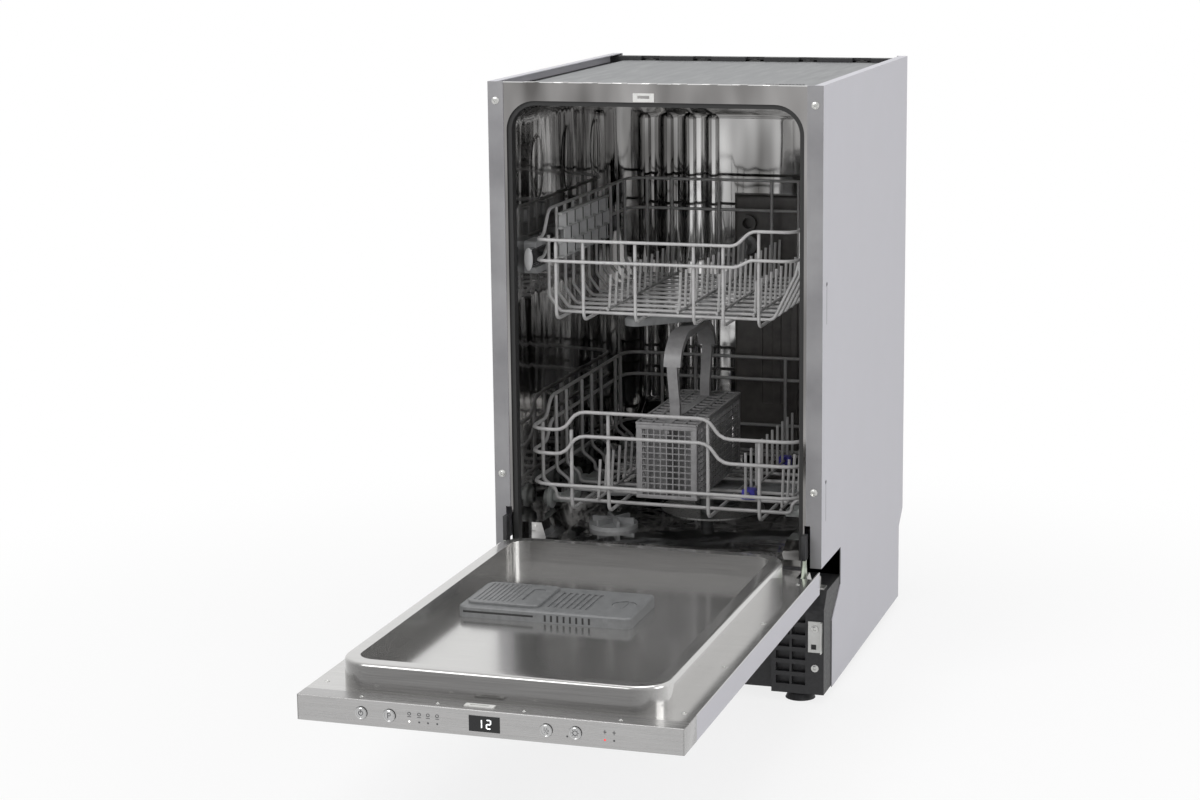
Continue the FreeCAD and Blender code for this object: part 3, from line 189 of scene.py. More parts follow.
weld_gap, crease = 0.000002, math.radians(50)
smooth_tree = bpy.data.node_groups.new("soft_curves", "GeometryNodeTree")
smooth_tree.interface.new_socket("Geometry", in_out="INPUT", socket_type="NodeSocketGeometry")
smooth_tree.interface.new_socket("Geometry", in_out="OUTPUT", socket_type="NodeSocketGeometry")
smooth_start = smooth_tree.nodes.new("NodeGroupInput")
smooth_weld = smooth_tree.nodes.new("GeometryNodeMergeByDistance")
smooth_weld.inputs["Distance"].default_value = weld_gap
smooth_plain = smooth_tree.nodes.new("GeometryNodeRemoveAttribute")
smooth_plain.inputs["Name"].default_value = "custom_normal"
smooth_faces = smooth_tree.nodes.new("GeometryNodeSetShadeSmooth")
smooth_angle = smooth_tree.nodes.new("GeometryNodeInputMeshEdgeAngle")
smooth_sharp = smooth_tree.nodes.new("FunctionNodeCompare")
smooth_sharp.inputs["B"].default_value = crease
smooth_edges = smooth_tree.nodes.new("GeometryNodeSetShadeSmooth")
smooth_edges.domain = "EDGE"
smooth_edges.inputs["Shade Smooth"].default_value = False
smooth_end = smooth_tree.nodes.new("NodeGroupOutput")
smooth_chain = (smooth_start, smooth_weld, smooth_plain, smooth_faces, smooth_edges, smooth_end)
for giver, taker in zip(smooth_chain, smooth_chain[1:]):
    smooth_tree.links.new(giver.outputs["Geometry"], taker.inputs["Geometry"])
smooth_tree.links.new(smooth_angle.outputs["Unsigned Angle"], smooth_sharp.inputs["A"])
smooth_tree.links.new(smooth_sharp.outputs["Result"], smooth_edges.inputs["Selection"])


def dress(finish, *names):
    """Gives CAD nodes their finish, with round faces shaded round."""
    for name in names:
        nodes[name].modifiers.new("soft_curves", "NODES").node_group = smooth_tree
        for place in nodes[name].material_slots:
            place.material = finish


def facing_painted_light(finish, name, low, high, axis, limit):
    """Copy of a finish with painted light: another tone on faces that look along an axis, for the shade and
    reflections those faces show.
    """
    made = finish.copy()
    made.name = name
    tree = made.node_tree
    tint = tree.nodes["Color Ramp"]
    other = tree.nodes.new("ShaderNodeValToRGB")
    for end, colour in zip((0, 1), (low, high)):
        other.color_ramp.elements[end].position = tint.color_ramp.elements[end].position
        other.color_ramp.elements[end].color = (*colour, 1)
    tree.links.new(tree.nodes["Noise Texture"].outputs["Fac"], other.inputs["Fac"])
    facing = tree.nodes.new("ShaderNodeVectorMath")
    facing.operation = "DOT_PRODUCT"
    facing.inputs[1].default_value = axis
    tree.links.new(tree.nodes["Texture Coordinate"].outputs["Normal"], facing.inputs[0])
    share = tree.nodes.new("ShaderNodeMapRange")
    share.inputs["From Min"].default_value = limit
    share.inputs["From Max"].default_value = 1.0
    tree.links.new(facing.outputs["Value"], share.inputs["Value"])
    blend = tree.nodes.new("ShaderNodeMix")
    blend.data_type = "RGBA"
    tree.links.new(share.outputs["Result"], blend.inputs["Factor"])
    tree.links.new(tint.outputs["Color"], blend.inputs["A"])
    tree.links.new(other.outputs["Color"], blend.inputs["B"])
    tree.links.new(blend.outputs["Result"], tree.nodes["Principled BSDF"].inputs["Base Color"])
    return made


toward_front, toward_back, upward = (0, -1, 0), (0, 1, 0), (0, 0, 1)
galvanised = surface("galvanised_sheet", (0.50, 0.495, 0.535), (0.54, 0.535, 0.575),
                     rough=(0.40, 0.5), scale=14, metal=0.35, bump=0.01)
# Faces of the side panels that look to the front, the front flanges, are toned darker than the rest of the
# sheet: painted shade.
front_flange_painted_shade = facing_painted_light(galvanised, "front_flange_painted_shade", (0.22, 0.217, 0.227), (0.32, 0.317, 0.327),
                     axis=toward_front, limit=0.8)
dress(front_flange_painted_shade, "left_side_panel", "right_side_panel")


def node_box(name):
    """Low and high corner of a CAD node, in millimetres from the cabinet's front plane."""
    front_plane = Vector((0, front_y, 0))
    return [Vector([round(1000 * size, 1) for size in corner - front_plane]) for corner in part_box(name)]


def turned(bm, outline, foot, axis, steps=20):
    """Turned shape: pairs of radius and height spun round an axis that starts at a foot point."""
    standing = set(bm.verts)
    along = Vector(axis).normalized()
    side = along.orthogonal().normalized()
    ring = [bm.verts.new(Vector(foot) + side * radius + along * height) for radius, height in outline]
    ring_edges = [bm.edges.new(ends) for ends in zip(ring, ring[1:])]
    bmesh.ops.spin(bm, geom=ring + ring_edges, cent=foot, axis=along, angle=math.tau, steps=steps,
                   use_merge=True)
    bmesh.ops.remove_doubles(bm, verts=[vert for vert in bm.verts if vert not in standing], dist=0.001)


def block(bm, low, high, edge=0.0):
    """Box between two corners with eased edges."""
    corners = bmesh.ops.create_cube(bm, size=1)["verts"]
    bmesh.ops.scale(bm, vec=Vector(high) - Vector(low), verts=corners)
    bmesh.ops.translate(bm, vec=(Vector(high) + Vector(low)) / 2, verts=corners)
    if edge:
        rims = list({rim for corner in corners for rim in corner.link_edges})
        bmesh.ops.bevel(bm, geom=rims, offset=edge, offset_type="OFFSET", affect="EDGES", segments=2,
                        profile=0.5, material=-1)
    return corners


def twin_blocks(bm, low, high, edge=0.0):
    """Box on the right of the machine and its like on the left."""
    block(bm, (-high[0], *low[1:]), (-low[0], *high[1:]), edge)
    block(bm, low, high, edge)


def fit(bm, name, body, slot, finish, *stands_for):
    """Piece drawn in millimetres from the cabinet's front plane, fixed to the body it moves with."""
    metres, soft_fold = (0.001, 0.001, 0.001), math.radians(40)
    bmesh.ops.recalc_face_normals(bm, faces=bm.faces)
    bmesh.ops.scale(bm, vec=metres, verts=bm.verts)
    bmesh.ops.translate(bm, vec=(0, front_y, 0), verts=bm.verts)
    mesh = bpy.data.meshes.new(name)
    bm.to_mesh(mesh)
    bm.free()
    mesh.shade_smooth()
    mesh.set_sharp_from_angle(angle=soft_fold)
    mesh.materials.append(finish)
    piece = bpy.data.objects.new(name, mesh)
    bpy.context.scene.collection.objects.link(piece)
    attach(piece, body)
    if stands_for:
        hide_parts(*stands_for)


screw_steel = surface("screw_steel", (0.42, 0.42, 0.41), (0.62, 0.62, 0.6),
                      rough=(0.2, 0.34), scale=300, metal=1.0, bump=0.05)
screw_head = [(0, 0.5), (1.4, 0.5), (1.9, 1.5), (3.0, 1.4), (3.8, 0.8), (5.0, 0.7), (5.3, 0)]
panel_low, panel_high = node_box("right_side_panel")
cabinet_half, back_plane = panel_high.x, panel_high.y
flange_mid, flange_screw_heights = (panel_low.x + panel_high.x) / 2, (291, 790)
flange_screws = bmesh.new()
for side in (-1, 1):
    for height in flange_screw_heights:
        turned(flange_screws, screw_head, (side * flange_mid, 0, height), toward_front)
fit(flange_screws, "flange_screws", "cabinet", "zinc", screw_steel)

# The key slots are dark strips standing just proud of the sheet: painted shade where the slots open.
key_slot_painted_shade = surface("key_slot_painted_shade", (0.16, 0.16, 0.17), (0.22, 0.22, 0.23),
                     rough=(0.4, 0.5), scale=60, metal=0.3, bump=0.05)
slot_front, slot_width, slot_length, slot_proud, slot_feet = 23.2, 1.6, 48, 0.1, (248, 508)
key_slots = bmesh.new()
for foot in slot_feet:
    twin_blocks(key_slots, (cabinet_half - slot_proud, slot_front, foot),
                (cabinet_half + slot_proud, slot_front + slot_width, foot + slot_length))
fit(key_slots, "key_slots", "cabinet", "panel", key_slot_painted_shade)

# Tub: polished stainless sheet, folded round from one wrapper, welded to a beaded rear wall and to a
# deep-drawn floor with raised wheel tracks. Shallow domes are pressed into the upper side walls.
# The tub steel's tone runs from dark to bright in vertical streaks: painted reflections of dark surroundings
# with bright strips.
polished = surface("stainless_painted_reflections", (0.12, 0.117, 0.114), (0.72, 0.715, 0.71),
                   rough=(0.04, 0.1), scale=15, metal=1.0, stretch=(1, 1, 0.22),
                   bump=0.4, detail=2, depth=0.005)
dress(polished, "tub_rear_wall", "tub_floor")
# The wrapper's faces that look to the front, its front band, get a darker tone: painted reflection.
wrapper_front_painted_reflection = facing_painted_light(polished, "wrapper_front_painted_reflection", (0.13, 0.125, 0.122), (0.46, 0.45, 0.445),
                      axis=toward_front, limit=0.8)
dress(wrapper_front_painted_reflection, "tub_wrapper")
tub_half = node_box("tub_floor")[1].x
dome_size, dome_depths, dome_height = (2.6, 27, 46), (120, 250, 380), 690
embossings = bmesh.new()
for side in (-1, 1):
    for depth in dome_depths:
        dome = bmesh.ops.create_uvsphere(embossings, u_segments=24, v_segments=12, radius=1)["verts"]
        bmesh.ops.scale(embossings, vec=dome_size, verts=dome)
        bmesh.ops.translate(embossings, vec=(side * tub_half, depth, dome_height), verts=dome)
for side in (-1, 1):
    bmesh.ops.bisect_plane(embossings, geom=embossings.verts[:] + embossings.edges[:] + embossings.faces[:],
                           plane_co=(side * tub_half, 0, 0), plane_no=(side, 0, 0), clear_outer=True)
fit(embossings, "wall_embossings", "cabinet", "tub_steel", polished)

# Door seal: black rubber lip, extruded in one length and pressed into the front edge of the tub, up
# both sides and over the top.
rubber = surface("seal_rubber", (0.012, 0.012, 0.012), (0.022, 0.022, 0.022),
                 rough=(0.55, 0.7), scale=160, bump=0.2)
dress(rubber, "door_gasket")

# Top: a recessed grey sheet over the tub's roof between black strips of painted shade in the side gaps, with
# a black moulded rail clipped along the back, a ribbed grille at the front and a row of steel tabs on the
# tub's front edge.
top_grey = surface("top_sheet", (0.185, 0.19, 0.195), (0.205, 0.21, 0.215),
                   rough=(0.4, 0.55), scale=30, metal=0.5, stretch=(3, 0.4, 1), bump=0.03)
dress(top_grey, "top_cover")
black_moulding = surface("black_moulding", (0.014, 0.014, 0.015), (0.03, 0.03, 0.032),
                         rough=(0.42, 0.6), scale=220, bump=0.25)
dress(black_moulding, "rear_top_rail")
cover_top = node_box("top_cover")[1]
# The side strips are black blocks filling the gaps between the tub's rear wall edges and the wrapper: painted
# shade where the gaps are.
gap_shade_clearance, gap_shade_front, gap_shade_foot, gap_shade_height = 0.4, 14, 700, 103
gap_shade_inner = node_box("tub_rear_wall")[1].x + gap_shade_clearance
gap_shade_outer = node_box("tub_wrapper")[1].x - gap_shade_clearance
side_gap_shade = bmesh.new()
twin_blocks(side_gap_shade, (gap_shade_inner, gap_shade_front, gap_shade_foot),
            (gap_shade_outer, cover_top.y, gap_shade_foot + gap_shade_height))
fit(side_gap_shade, "side_gap_shade", "cabinet", "black_plastic", black_moulding)
rail_low, rail_high = node_box("rear_top_rail")
backing_side, backing_foot, backing_drop, backing_front, backing_rear = 1.8, 0.5, 4, 1.5, 0.2
rail_backing = bmesh.new()
block(rail_backing, (rail_low.x + backing_side, rail_high.y - backing_front, rail_low.z + backing_foot),
      (rail_high.x - backing_side, rail_high.y - backing_rear, rail_high.z - backing_drop))
fit(rail_backing, "rail_backing", "cabinet", "black_plastic", black_moulding)
grille_low, grille_high = Vector((140, 18, cover_top.z)), Vector((196, 30, cover_top.z + 3))
grille_ribs, grille_pitch, grille_rib, grille_start, grille_inset, grille_rise = 12, 4.4, 2.4, 2, 0.5, 5
top_grille = bmesh.new()
block(top_grille, grille_low, grille_high, edge=0.5)
for rib in range(grille_ribs):
    rib_x = grille_low.x + grille_start + grille_pitch * rib
    block(top_grille, (rib_x, grille_low.y + grille_inset, grille_high.z - grille_inset),
          (rib_x + grille_rib, grille_high.y - grille_inset, grille_high.z + grille_rise), edge=0.4)
fit(top_grille, "top_grille", "cabinet", "black_plastic", black_moulding)
clip_pitch, clip_half, clip_depth, clip_height = 80, 8, 8.5, 4.5
nose_half, nose_depth, nose_height = 3, 4, 2
clip_front, clip_foot = rail_low.y + 0.5, rail_high.z - 9
nose_front, nose_foot = rail_low.y + 3, rail_high.z - 5
rail_clips = bmesh.new()
for clip in (-2, -1, 0, 1, 2):
    clip_x = clip_pitch * clip
    block(rail_clips, (clip_x - clip_half, clip_front, clip_foot),
          (clip_x + clip_half, clip_front + clip_depth, clip_foot + clip_height), edge=0.6)
    block(rail_clips, (clip_x - nose_half, nose_front, nose_foot),
          (clip_x + nose_half, nose_front + nose_depth, nose_foot + nose_height), edge=0.6)
fit(rail_clips, "rail_clips", "cabinet", "black_plastic", rubber)
tab_count, tab_start, tab_pitch, tab_length = 9, -176, 40, 20
tab_front, tab_rear, tab_foot, tab_top = 3, 12, 813.2, 814.4
front_tabs = bmesh.new()
for tab in range(tab_count):
    tab_x = tab_start + tab_pitch * tab
    block(front_tabs, (tab_x, tab_front, tab_foot), (tab_x + tab_length, tab_rear, tab_top), edge=0.4)
fit(front_tabs, "front_tabs", "cabinet", "tub_steel", polished)

# Back panel: thin galvanised sheet with two groups of pressed ribs, screwed to the side panels, and the
# white moulded inlet valve under it. The door's latch and its striker are the same white moulding.
dress(galvanised, "back_panel")
back_screw_x, back_screw_heights = 215.5, (170, 330, 490, 650, 770)
back_screws = bmesh.new()
for side in (-1, 1):
    for height in back_screw_heights:
        turned(back_screws, screw_head, (side * back_screw_x, back_plane, height), toward_back)
fit(back_screws, "back_screws", "cabinet", "zinc", screw_steel)
rib_half, rib_height, rib_sink, rib_proud = 170, 26, 1.5, 1.6
rib_groups, rib_lifts = (200, 460), (0, 60, 120)
back_ribs = bmesh.new()
for group in rib_groups:
    for lift in rib_lifts:
        block(back_ribs, (-rib_half, back_plane - rib_sink, group + lift),
              (rib_half, back_plane + rib_proud, group + lift + rib_height), edge=1.4)
fit(back_ribs, "back_ribs", "cabinet", "panel", galvanised)
white_moulding = surface("white_moulding", (0.74, 0.74, 0.72), (0.82, 0.82, 0.8),
                         rough=(0.3, 0.42), scale=120, bump=0.05)
dress(white_moulding, "inlet_valve", "latch_striker", "door_latch")

# Base: one black moulded tray with ribbed front corners on three screw feet, and zinc plated brackets
# that hold its corners and the door hinges. A narrow sheet is set between the corners under the door, and
# black caps are pushed over the hinge levers.
dress(black_moulding, "base_tray", "front_foot_left", "front_foot_right", "rear_foot")
zinc = surface("zinc_plate", (0.48, 0.48, 0.465), (0.6, 0.6, 0.585),
               rough=(0.3, 0.45), scale=55, metal=0.8, bump=0.04)
dress(zinc, "base_brackets", "hinge_brackets")
pale_zinc = surface("passivated_zinc", (0.54, 0.60, 0.50), (0.66, 0.71, 0.61),
                    rough=(0.34, 0.48), scale=60, metal=0.3, bump=0.05)
dress(pale_zinc, "hinge_levers")
bracket_screw_x, bracket_screw_places = 211, ((22, 48), (20.5, 102))
bracket_screws = bmesh.new()
for side in (-1, 1):
    for face, height in bracket_screw_places:
        turned(bracket_screws, screw_head, (side * bracket_screw_x, face, height), toward_front)
fit(bracket_screws, "bracket_screws", "cabinet", "zinc", screw_steel)
corner_rib_low, corner_rib_high = (176.5, 22.2, 22), (179.5, 30, 122)
corner_ribs = bmesh.new()
twin_blocks(corner_ribs, corner_rib_low, corner_rib_high)
fit(corner_ribs, "corner_ribs", "cabinet", "black_plastic", black_moulding)
kick_half, kick_front, kick_rear, kick_foot, kick_top = 150, 38.8, 40, 104, 149
kick_sheet = bmesh.new()
block(kick_sheet, (-kick_half, kick_front, kick_foot), (kick_half, kick_rear, kick_top), edge=0.3)
fit(kick_sheet, "kick_sheet", "cabinet", "panel", galvanised)
lower_cap_low, lower_cap_high = (201.6, -22, 172), (202.7, -5, 206)
upper_cap_low, upper_cap_high = (201.6, -19, 204), (207.2, -4.8, 237)
lever_covers = bmesh.new()
twin_blocks(lever_covers, lower_cap_low, lower_cap_high, edge=0.5)
twin_blocks(lever_covers, upper_cap_low, upper_cap_high, edge=0.5)
fit(lever_covers, "lever_covers", "door", "black_plastic", black_moulding)

# Wet end of the tub: grey moulded sump with the spray arm on its post, the twist-out filter cup in a fine
# steel filter plate, and the salt cap. A dark moulded duct on the rear wall feeds the upper arm, which
# hangs on a pipe under the upper basket.
grey_moulding = surface("grey_moulding", (0.19, 0.195, 0.2), (0.25, 0.255, 0.26),
                        rough=(0.36, 0.5), scale=150, bump=0.12)
dress(grey_moulding, "sump", "filter_cup", "lower_spray_arm")
pale_moulding = surface("pale_moulding", (0.31, 0.315, 0.32), (0.38, 0.385, 0.39),
                        rough=(0.32, 0.45), scale=150, bump=0.08)
dress(pale_moulding, "salt_cap", "upper_spray_arm", "upper_feed_pipe")
filter_mesh = surface("filter_mesh", (0.3, 0.3, 0.3), (0.55, 0.55, 0.54),
                      rough=(0.25, 0.4), scale=500, metal=1.0, bump=0.4)
dress(filter_mesh, "filter_plate")
duct_moulding = surface("duct_moulding", (0.08, 0.074, 0.071), (0.115, 0.107, 0.102),
                        rough=(0.3, 0.42), scale=90, bump=0.06)
dress(duct_moulding, "spray_feed_duct")

# Door: galvanised outer skin for the furniture panel, and a brushed stainless liner drawn to a rim and a
# dish and held by small screws. A brushed strip with folded returns closes its end.
brushed = surface("brushed_stainless", (0.55, 0.545, 0.535), (0.64, 0.635, 0.625),
                  rough=(0.13, 0.2), scale=300, metal=0.9, stretch=(0.05, 4, 4), bump=0.004)
# Faces of the liner that look to the front are toned far darker than the brushed steel: painted reflection of
# the dark tub.
liner_front_painted_reflection = facing_painted_light(brushed, "liner_front_painted_reflection", (0.17, 0.167, 0.165), (0.225, 0.222, 0.219),
                    axis=toward_front, limit=0.3)
dress(liner_front_painted_reflection, "door_liner")
brushed_strip = surface("brushed_strip", (0.40, 0.395, 0.392), (0.46, 0.455, 0.452),
                        rough=(0.24, 0.33), scale=300, metal=0.85, stretch=(0.05, 4, 4), bump=0.006)
dress(brushed_strip, "control_fascia")
dress(galvanised, "door_outer_skin")
strip_low, strip_high = node_box("control_fascia")
flange_level = strip_high.z
side_screw_x, side_screw_reaches = 209, (-70, -250, -430, -600)
end_screw_reach, end_screw_places = -640, (-150, -60, 40, 150)
side_screw_scale, end_screw_scale, low_head_scale = 0.6, 0.5, 0.5
side_screw = [(radius * side_screw_scale, height * low_head_scale) for radius, height in screw_head]
end_screw = [(radius * end_screw_scale, height * low_head_scale) for radius, height in screw_head]
liner_screws = bmesh.new()
for side in (-1, 1):
    for reach in side_screw_reaches:
        turned(liner_screws, side_screw, (side * side_screw_x, reach, flange_level), upward, steps=14)
for across in end_screw_places:
    turned(liner_screws, end_screw, (across, end_screw_reach, flange_level), upward, steps=14)
fit(liner_screws, "liner_screws", "door", "zinc", screw_steel)
return_rear, return_inset, return_lap, return_proud = -602, 0.4, 0.1, 0.6
return_low = (strip_high.x - return_lap, strip_low.y + return_inset, strip_low.z + return_inset)
return_high = (strip_high.x + return_proud, return_rear, strip_high.z - return_inset)
fascia_returns = bmesh.new()
twin_blocks(fascia_returns, return_low, return_high, edge=0.2)
fit(fascia_returns, "fascia_returns", "door", "fascia_steel", brushed_strip)

# Dispenser in the dish of the door: dark grey moulding clamped through the liner, with vent slits in its
# front edge, a ribbed lid that slides open and a toothed rinse aid cap that turns.
dark_moulding = surface("dark_moulding", (0.15, 0.153, 0.156), (0.2, 0.204, 0.208),
                        rough=(0.34, 0.48), scale=150, bump=0.12)
dress(dark_moulding, "dispenser_body", "dispenser_lid", "rinse_aid_cap")
# The vent slits are black strips set just proud of the front edge: painted shade where the slits open.
slit_count, slit_start, slit_pitch, slit_width = 8, -44, 8, 2.5
slit_foot, slit_top, slit_proud, slit_depth = 192, 200, 0.3, 0.8
long_slit_start, long_slit_end, long_slit_foot, long_slit_top = -148, -58, 196, 198.4
slit_front = node_box("dispenser_body")[0].y - slit_proud
slit_rear = slit_front + slit_depth
slits = bmesh.new()
block(slits, (long_slit_start, slit_front, long_slit_foot),
      (long_slit_end, slit_rear, long_slit_top), edge=0.2)
for slit in range(slit_count):
    slit_x = slit_start + slit_pitch * slit
    block(slits, (slit_x, slit_front, slit_foot), (slit_x + slit_width, slit_rear, slit_top), edge=0.2)
fit(slits, "dispenser_slit_shade", "door", "black_plastic", rubber)
lid_low, lid_high = node_box("dispenser_lid")
lid_rib_count, lid_rib_start, lid_rib_pitch, lid_rib_width = 9, 6, 6, 2.4
lid_margin, lid_rib_sink, lid_rib_proud = 8, 0.2, 0.7
lid_ribs = bmesh.new()
for rib in range(lid_rib_count):
    rib_x = lid_low.x + lid_rib_start + lid_rib_pitch * rib
    block(lid_ribs, (rib_x, lid_low.y + lid_margin, lid_high.z - lid_rib_sink),
          (rib_x + lid_rib_width, lid_high.y - lid_margin, lid_high.z + lid_rib_proud), edge=0.3)
fit(lid_ribs, "lid_ribs", "soap_lid", "grey_plastic", dark_moulding)
cap_low, cap_high = node_box("rinse_aid_cap")
cap_mid = (cap_low + cap_high) / 2
tooth_count, tooth_half, tooth_inner, tooth_outer, tooth_foot, tooth_drop = 18, 0.8, 13.2, 14.6, 2.2, 0.8
cap_ribs = bmesh.new()
for rib in range(tooth_count):
    tooth = block(cap_ribs, (cap_mid.x + tooth_inner, cap_mid.y - tooth_half, cap_high.z - tooth_foot),
                  (cap_mid.x + tooth_outer, cap_mid.y + tooth_half, cap_high.z - tooth_drop))
    turn = Matrix.Rotation(math.tau * rib / tooth_count, 3, "Z")
    bmesh.ops.rotate(cap_ribs, cent=cap_mid, matrix=turn, verts=tooth)
fit(cap_ribs, "cap_ribs", "rinse_cap", "grey_plastic", pale_moulding)

# Controls on the end of the door: a black display window with lit figures and four plated push buttons
# with printed marks, set through the brushed strip beside printed icons and small lamps.
display_black = surface("display_black", (0.004, 0.004, 0.005), (0.008, 0.008, 0.009),
                        rough=(0.08, 0.14), scale=30, bump=0.0)
dress(display_black, "display_window")
plated = surface("plated_button", (0.42, 0.42, 0.42), (0.52, 0.52, 0.52),
                 rough=(0.12, 0.22), scale=80, metal=1.0, bump=0.02)
dress(plated, "power_button", "program_button", "half_load_button", "start_button")
printed = surface("printed_icons", (0.05, 0.05, 0.055), (0.09, 0.09, 0.095),
                  rough=(0.4, 0.5), scale=200, bump=0.0)
strip_front, strip_mid = strip_low.y, (strip_low.z + strip_high.z) / 2


def strip_place(share):
    """Place along the strip, from its share of the machine's width."""
    return (share - 0.5) * 2 * cabinet_half


def flat_mark(bm, across, face, proud, left, right, low, high):
    """Flat bar on a face of the strip, measured from a place along it and from its middle line."""
    return block(bm, (across + left, face - proud, strip_mid + low), (across + right, face, strip_mid + high))


icon_proud, icon_lift = 0.15, 4
icon_ring = [(1.3, 0), (1.3, icon_proud), (2.1, icon_proud), (2.1, 0)]
icon_foot, refill_bar, refill_post = (-2.2, 2.2, 0.2, 0.9), (-1.8, 1.8, 3.4, 4.2), (-0.4, 0.4, 1.4, 6.2)
icons = bmesh.new()
for share in (0.300, 0.326, 0.349, 0.373):
    across = strip_place(share)
    turned(icons, icon_ring, (across, strip_front, strip_mid + icon_lift), toward_front, steps=16)
    flat_mark(icons, across, strip_front, icon_proud, *icon_foot)
for share in (0.802, 0.825):
    across = strip_place(share)
    flat_mark(icons, across, strip_front, icon_proud, *refill_bar)
    flat_mark(icons, across, strip_front, icon_proud, *refill_post)
fit(icons, "strip_icons", "door", "black_plastic", printed)


def glow(name, colour, strength):
    """Lamp face that shines a little of its own light."""
    made = surface(name, colour, colour, rough=(0.3, 0.4), scale=50, bump=0.0)
    shader = made.node_tree.nodes["Principled BSDF"]
    shader.inputs["Emission Color"].default_value = (*colour, 1)
    shader.inputs["Emission Strength"].default_value = strength
    return made


led_dome, led_drop = [(0, 0.5), (0.8, 0.4), (1.2, 0)], 5
for name, finish, shares in (("lit_leds", glow("led_white", (0.95, 0.95, 0.9), strength=1.0), (0.300,)),
                             ("red_leds", glow("led_red", (0.8, 0.03, 0.03), strength=0.8), (0.802,)),
                             ("dark_leds", printed, (0.326, 0.349, 0.373, 0.707, 0.825))):
    leds = bmesh.new()
    for share in shares:
        led_foot = (strip_place(share), strip_front, strip_mid - led_drop)
        turned(leds, led_dome, led_foot, toward_front, steps=12)
    fit(leds, name, "door", "display", finish)
mark_proud = 0.2
digit_bars = {"1": "bc", "2": "abged"}
bar_places = {"a": (0, 1, False), "b": (1, 0.5, True), "c": (1, -0.5, True),
              "d": (0, -1, False), "e": (-1, -0.5, True), "g": (0, 0, False)}


def digit(bm, figure, across, lift, size, face):
    """Figure of straight bars on a face of the strip, drawn from its middle."""
    figure_half, figure_height, bar_thin, bar_long = 2.4 * size, 4.8 * size, 0.6 * size, 2.0 * size
    for bar in digit_bars[figure]:
        side, rise, upright = bar_places[bar]
        bar_x, bar_z = figure_half * side, lift + figure_height * rise
        half_x, half_z = (bar_thin, bar_long) if upright else (bar_long, bar_thin)
        flat_mark(bm, across, face, mark_proud,
                  bar_x - half_x, bar_x + half_x, bar_z - half_z, bar_z + half_z)


digit_sink = 0.05
digit_face = node_box("display_window")[0].y + digit_sink
digits = bmesh.new()
digit(digits, "1", across=-7.5, lift=0, size=1.0, face=digit_face)
digit(digits, "2", across=3.0, lift=0, size=1.0, face=digit_face)
fit(digits, "display_digits", "door", "display", glow("digit_glow", (0.9, 0.93, 0.95), strength=1.4))
button_face = node_box("power_button")[0].y
mark_ring = [(2.2, 0), (2.2, mark_proud), (3.0, mark_proud), (3.0, 0)]
ray_count, slash_lean, half_size, half_lift = 8, 0.45, 0.42, 1.4
power_bar, ray_bar, slash_bar = (-0.4, 0.4, 0, 3.8), (-0.3, 0.3, 3.4, 4.4), (-0.25, 0.25, -3.2, 3.2)
program_strokes = ((-1.9, -1.1, -3.2, 3.2), (-1.1, 1.2, 2.4, 3.2),
                   (-1.1, 1.2, -0.6, 0.2), (1.2, 2.0, 0.2, 2.4))
for button, share in (("power", 0.173), ("program", 0.248), ("half_load", 0.654), ("start", 0.728)):
    across = strip_place(share)
    mark = bmesh.new()
    if button in ("power", "start"):
        turned(mark, mark_ring, (across, button_face, strip_mid), toward_front, steps=20)
    if button == "power":
        flat_mark(mark, across, button_face, mark_proud, *power_bar)
    if button == "start":
        for ray in range(ray_count):
            beam = flat_mark(mark, across, button_face, mark_proud, *ray_bar)
            turn = Matrix.Rotation(math.tau * ray / ray_count, 3, "Y")
            bmesh.ops.rotate(mark, cent=(across, 0, strip_mid), matrix=turn, verts=beam)
    if button == "program":
        for stroke in program_strokes:
            flat_mark(mark, across, button_face, mark_proud, *stroke)
    if button == "half_load":
        digit(mark, "1", across=across - 2.9, lift=half_lift, size=half_size, face=button_face)
        digit(mark, "2", across=across + 2.1, lift=-half_lift, size=half_size, face=button_face)
        slash = flat_mark(mark, across, button_face, mark_proud, *slash_bar)
        turn = Matrix.Rotation(slash_lean, 3, "Y")
        bmesh.ops.rotate(mark, cent=(across, 0, strip_mid), matrix=turn, verts=slash)
    fit(mark, button + "_mark", button, "black_plastic", printed)

# Lower basket: nylon coated steel wire, welded, with a folding tine row in violet clips. Eight moulded
# wheels with ribbed hubs snap on stub axles and run on the tub's tracks and the door's rim.
coated_wire = surface("coated_wire", (0.40, 0.395, 0.395), (0.48, 0.475, 0.475),
                      rough=(0.28, 0.4), scale=90, bump=0.08)
dress(coated_wire, "lower_basket_rims", "lower_basket_wires", "lower_tines", "folding_tines")
violet_moulding = surface("violet_moulding", (0.05, 0.045, 0.36), (0.09, 0.08, 0.5),
                          rough=(0.3, 0.42), scale=90, bump=0.05)
dress(violet_moulding, "tine_clips")
wheel_moulding = surface("wheel_moulding", (0.29, 0.305, 0.298), (0.36, 0.375, 0.368),
                         rough=(0.32, 0.44), scale=120, bump=0.1)
dress(wheel_moulding, "wheel_axles")
wheel_outline = [(3.4, -6), (14.6, -6), (16.2, -4.6), (16.2, -0.8), (14.8, 0.4), (11.6, 0.6), (10.8, 1.4),
                 (10.5, 5.2), (9.8, 6), (8.2, 6), (7.6, 2.4), (3.4, 2.4), (3.4, -6)]
wheel_half, spoke_count, spoke_half = 6, 6, 0.6
spoke_near, spoke_far, spoke_foot, spoke_top = 2.2, 5, 3.5, 8
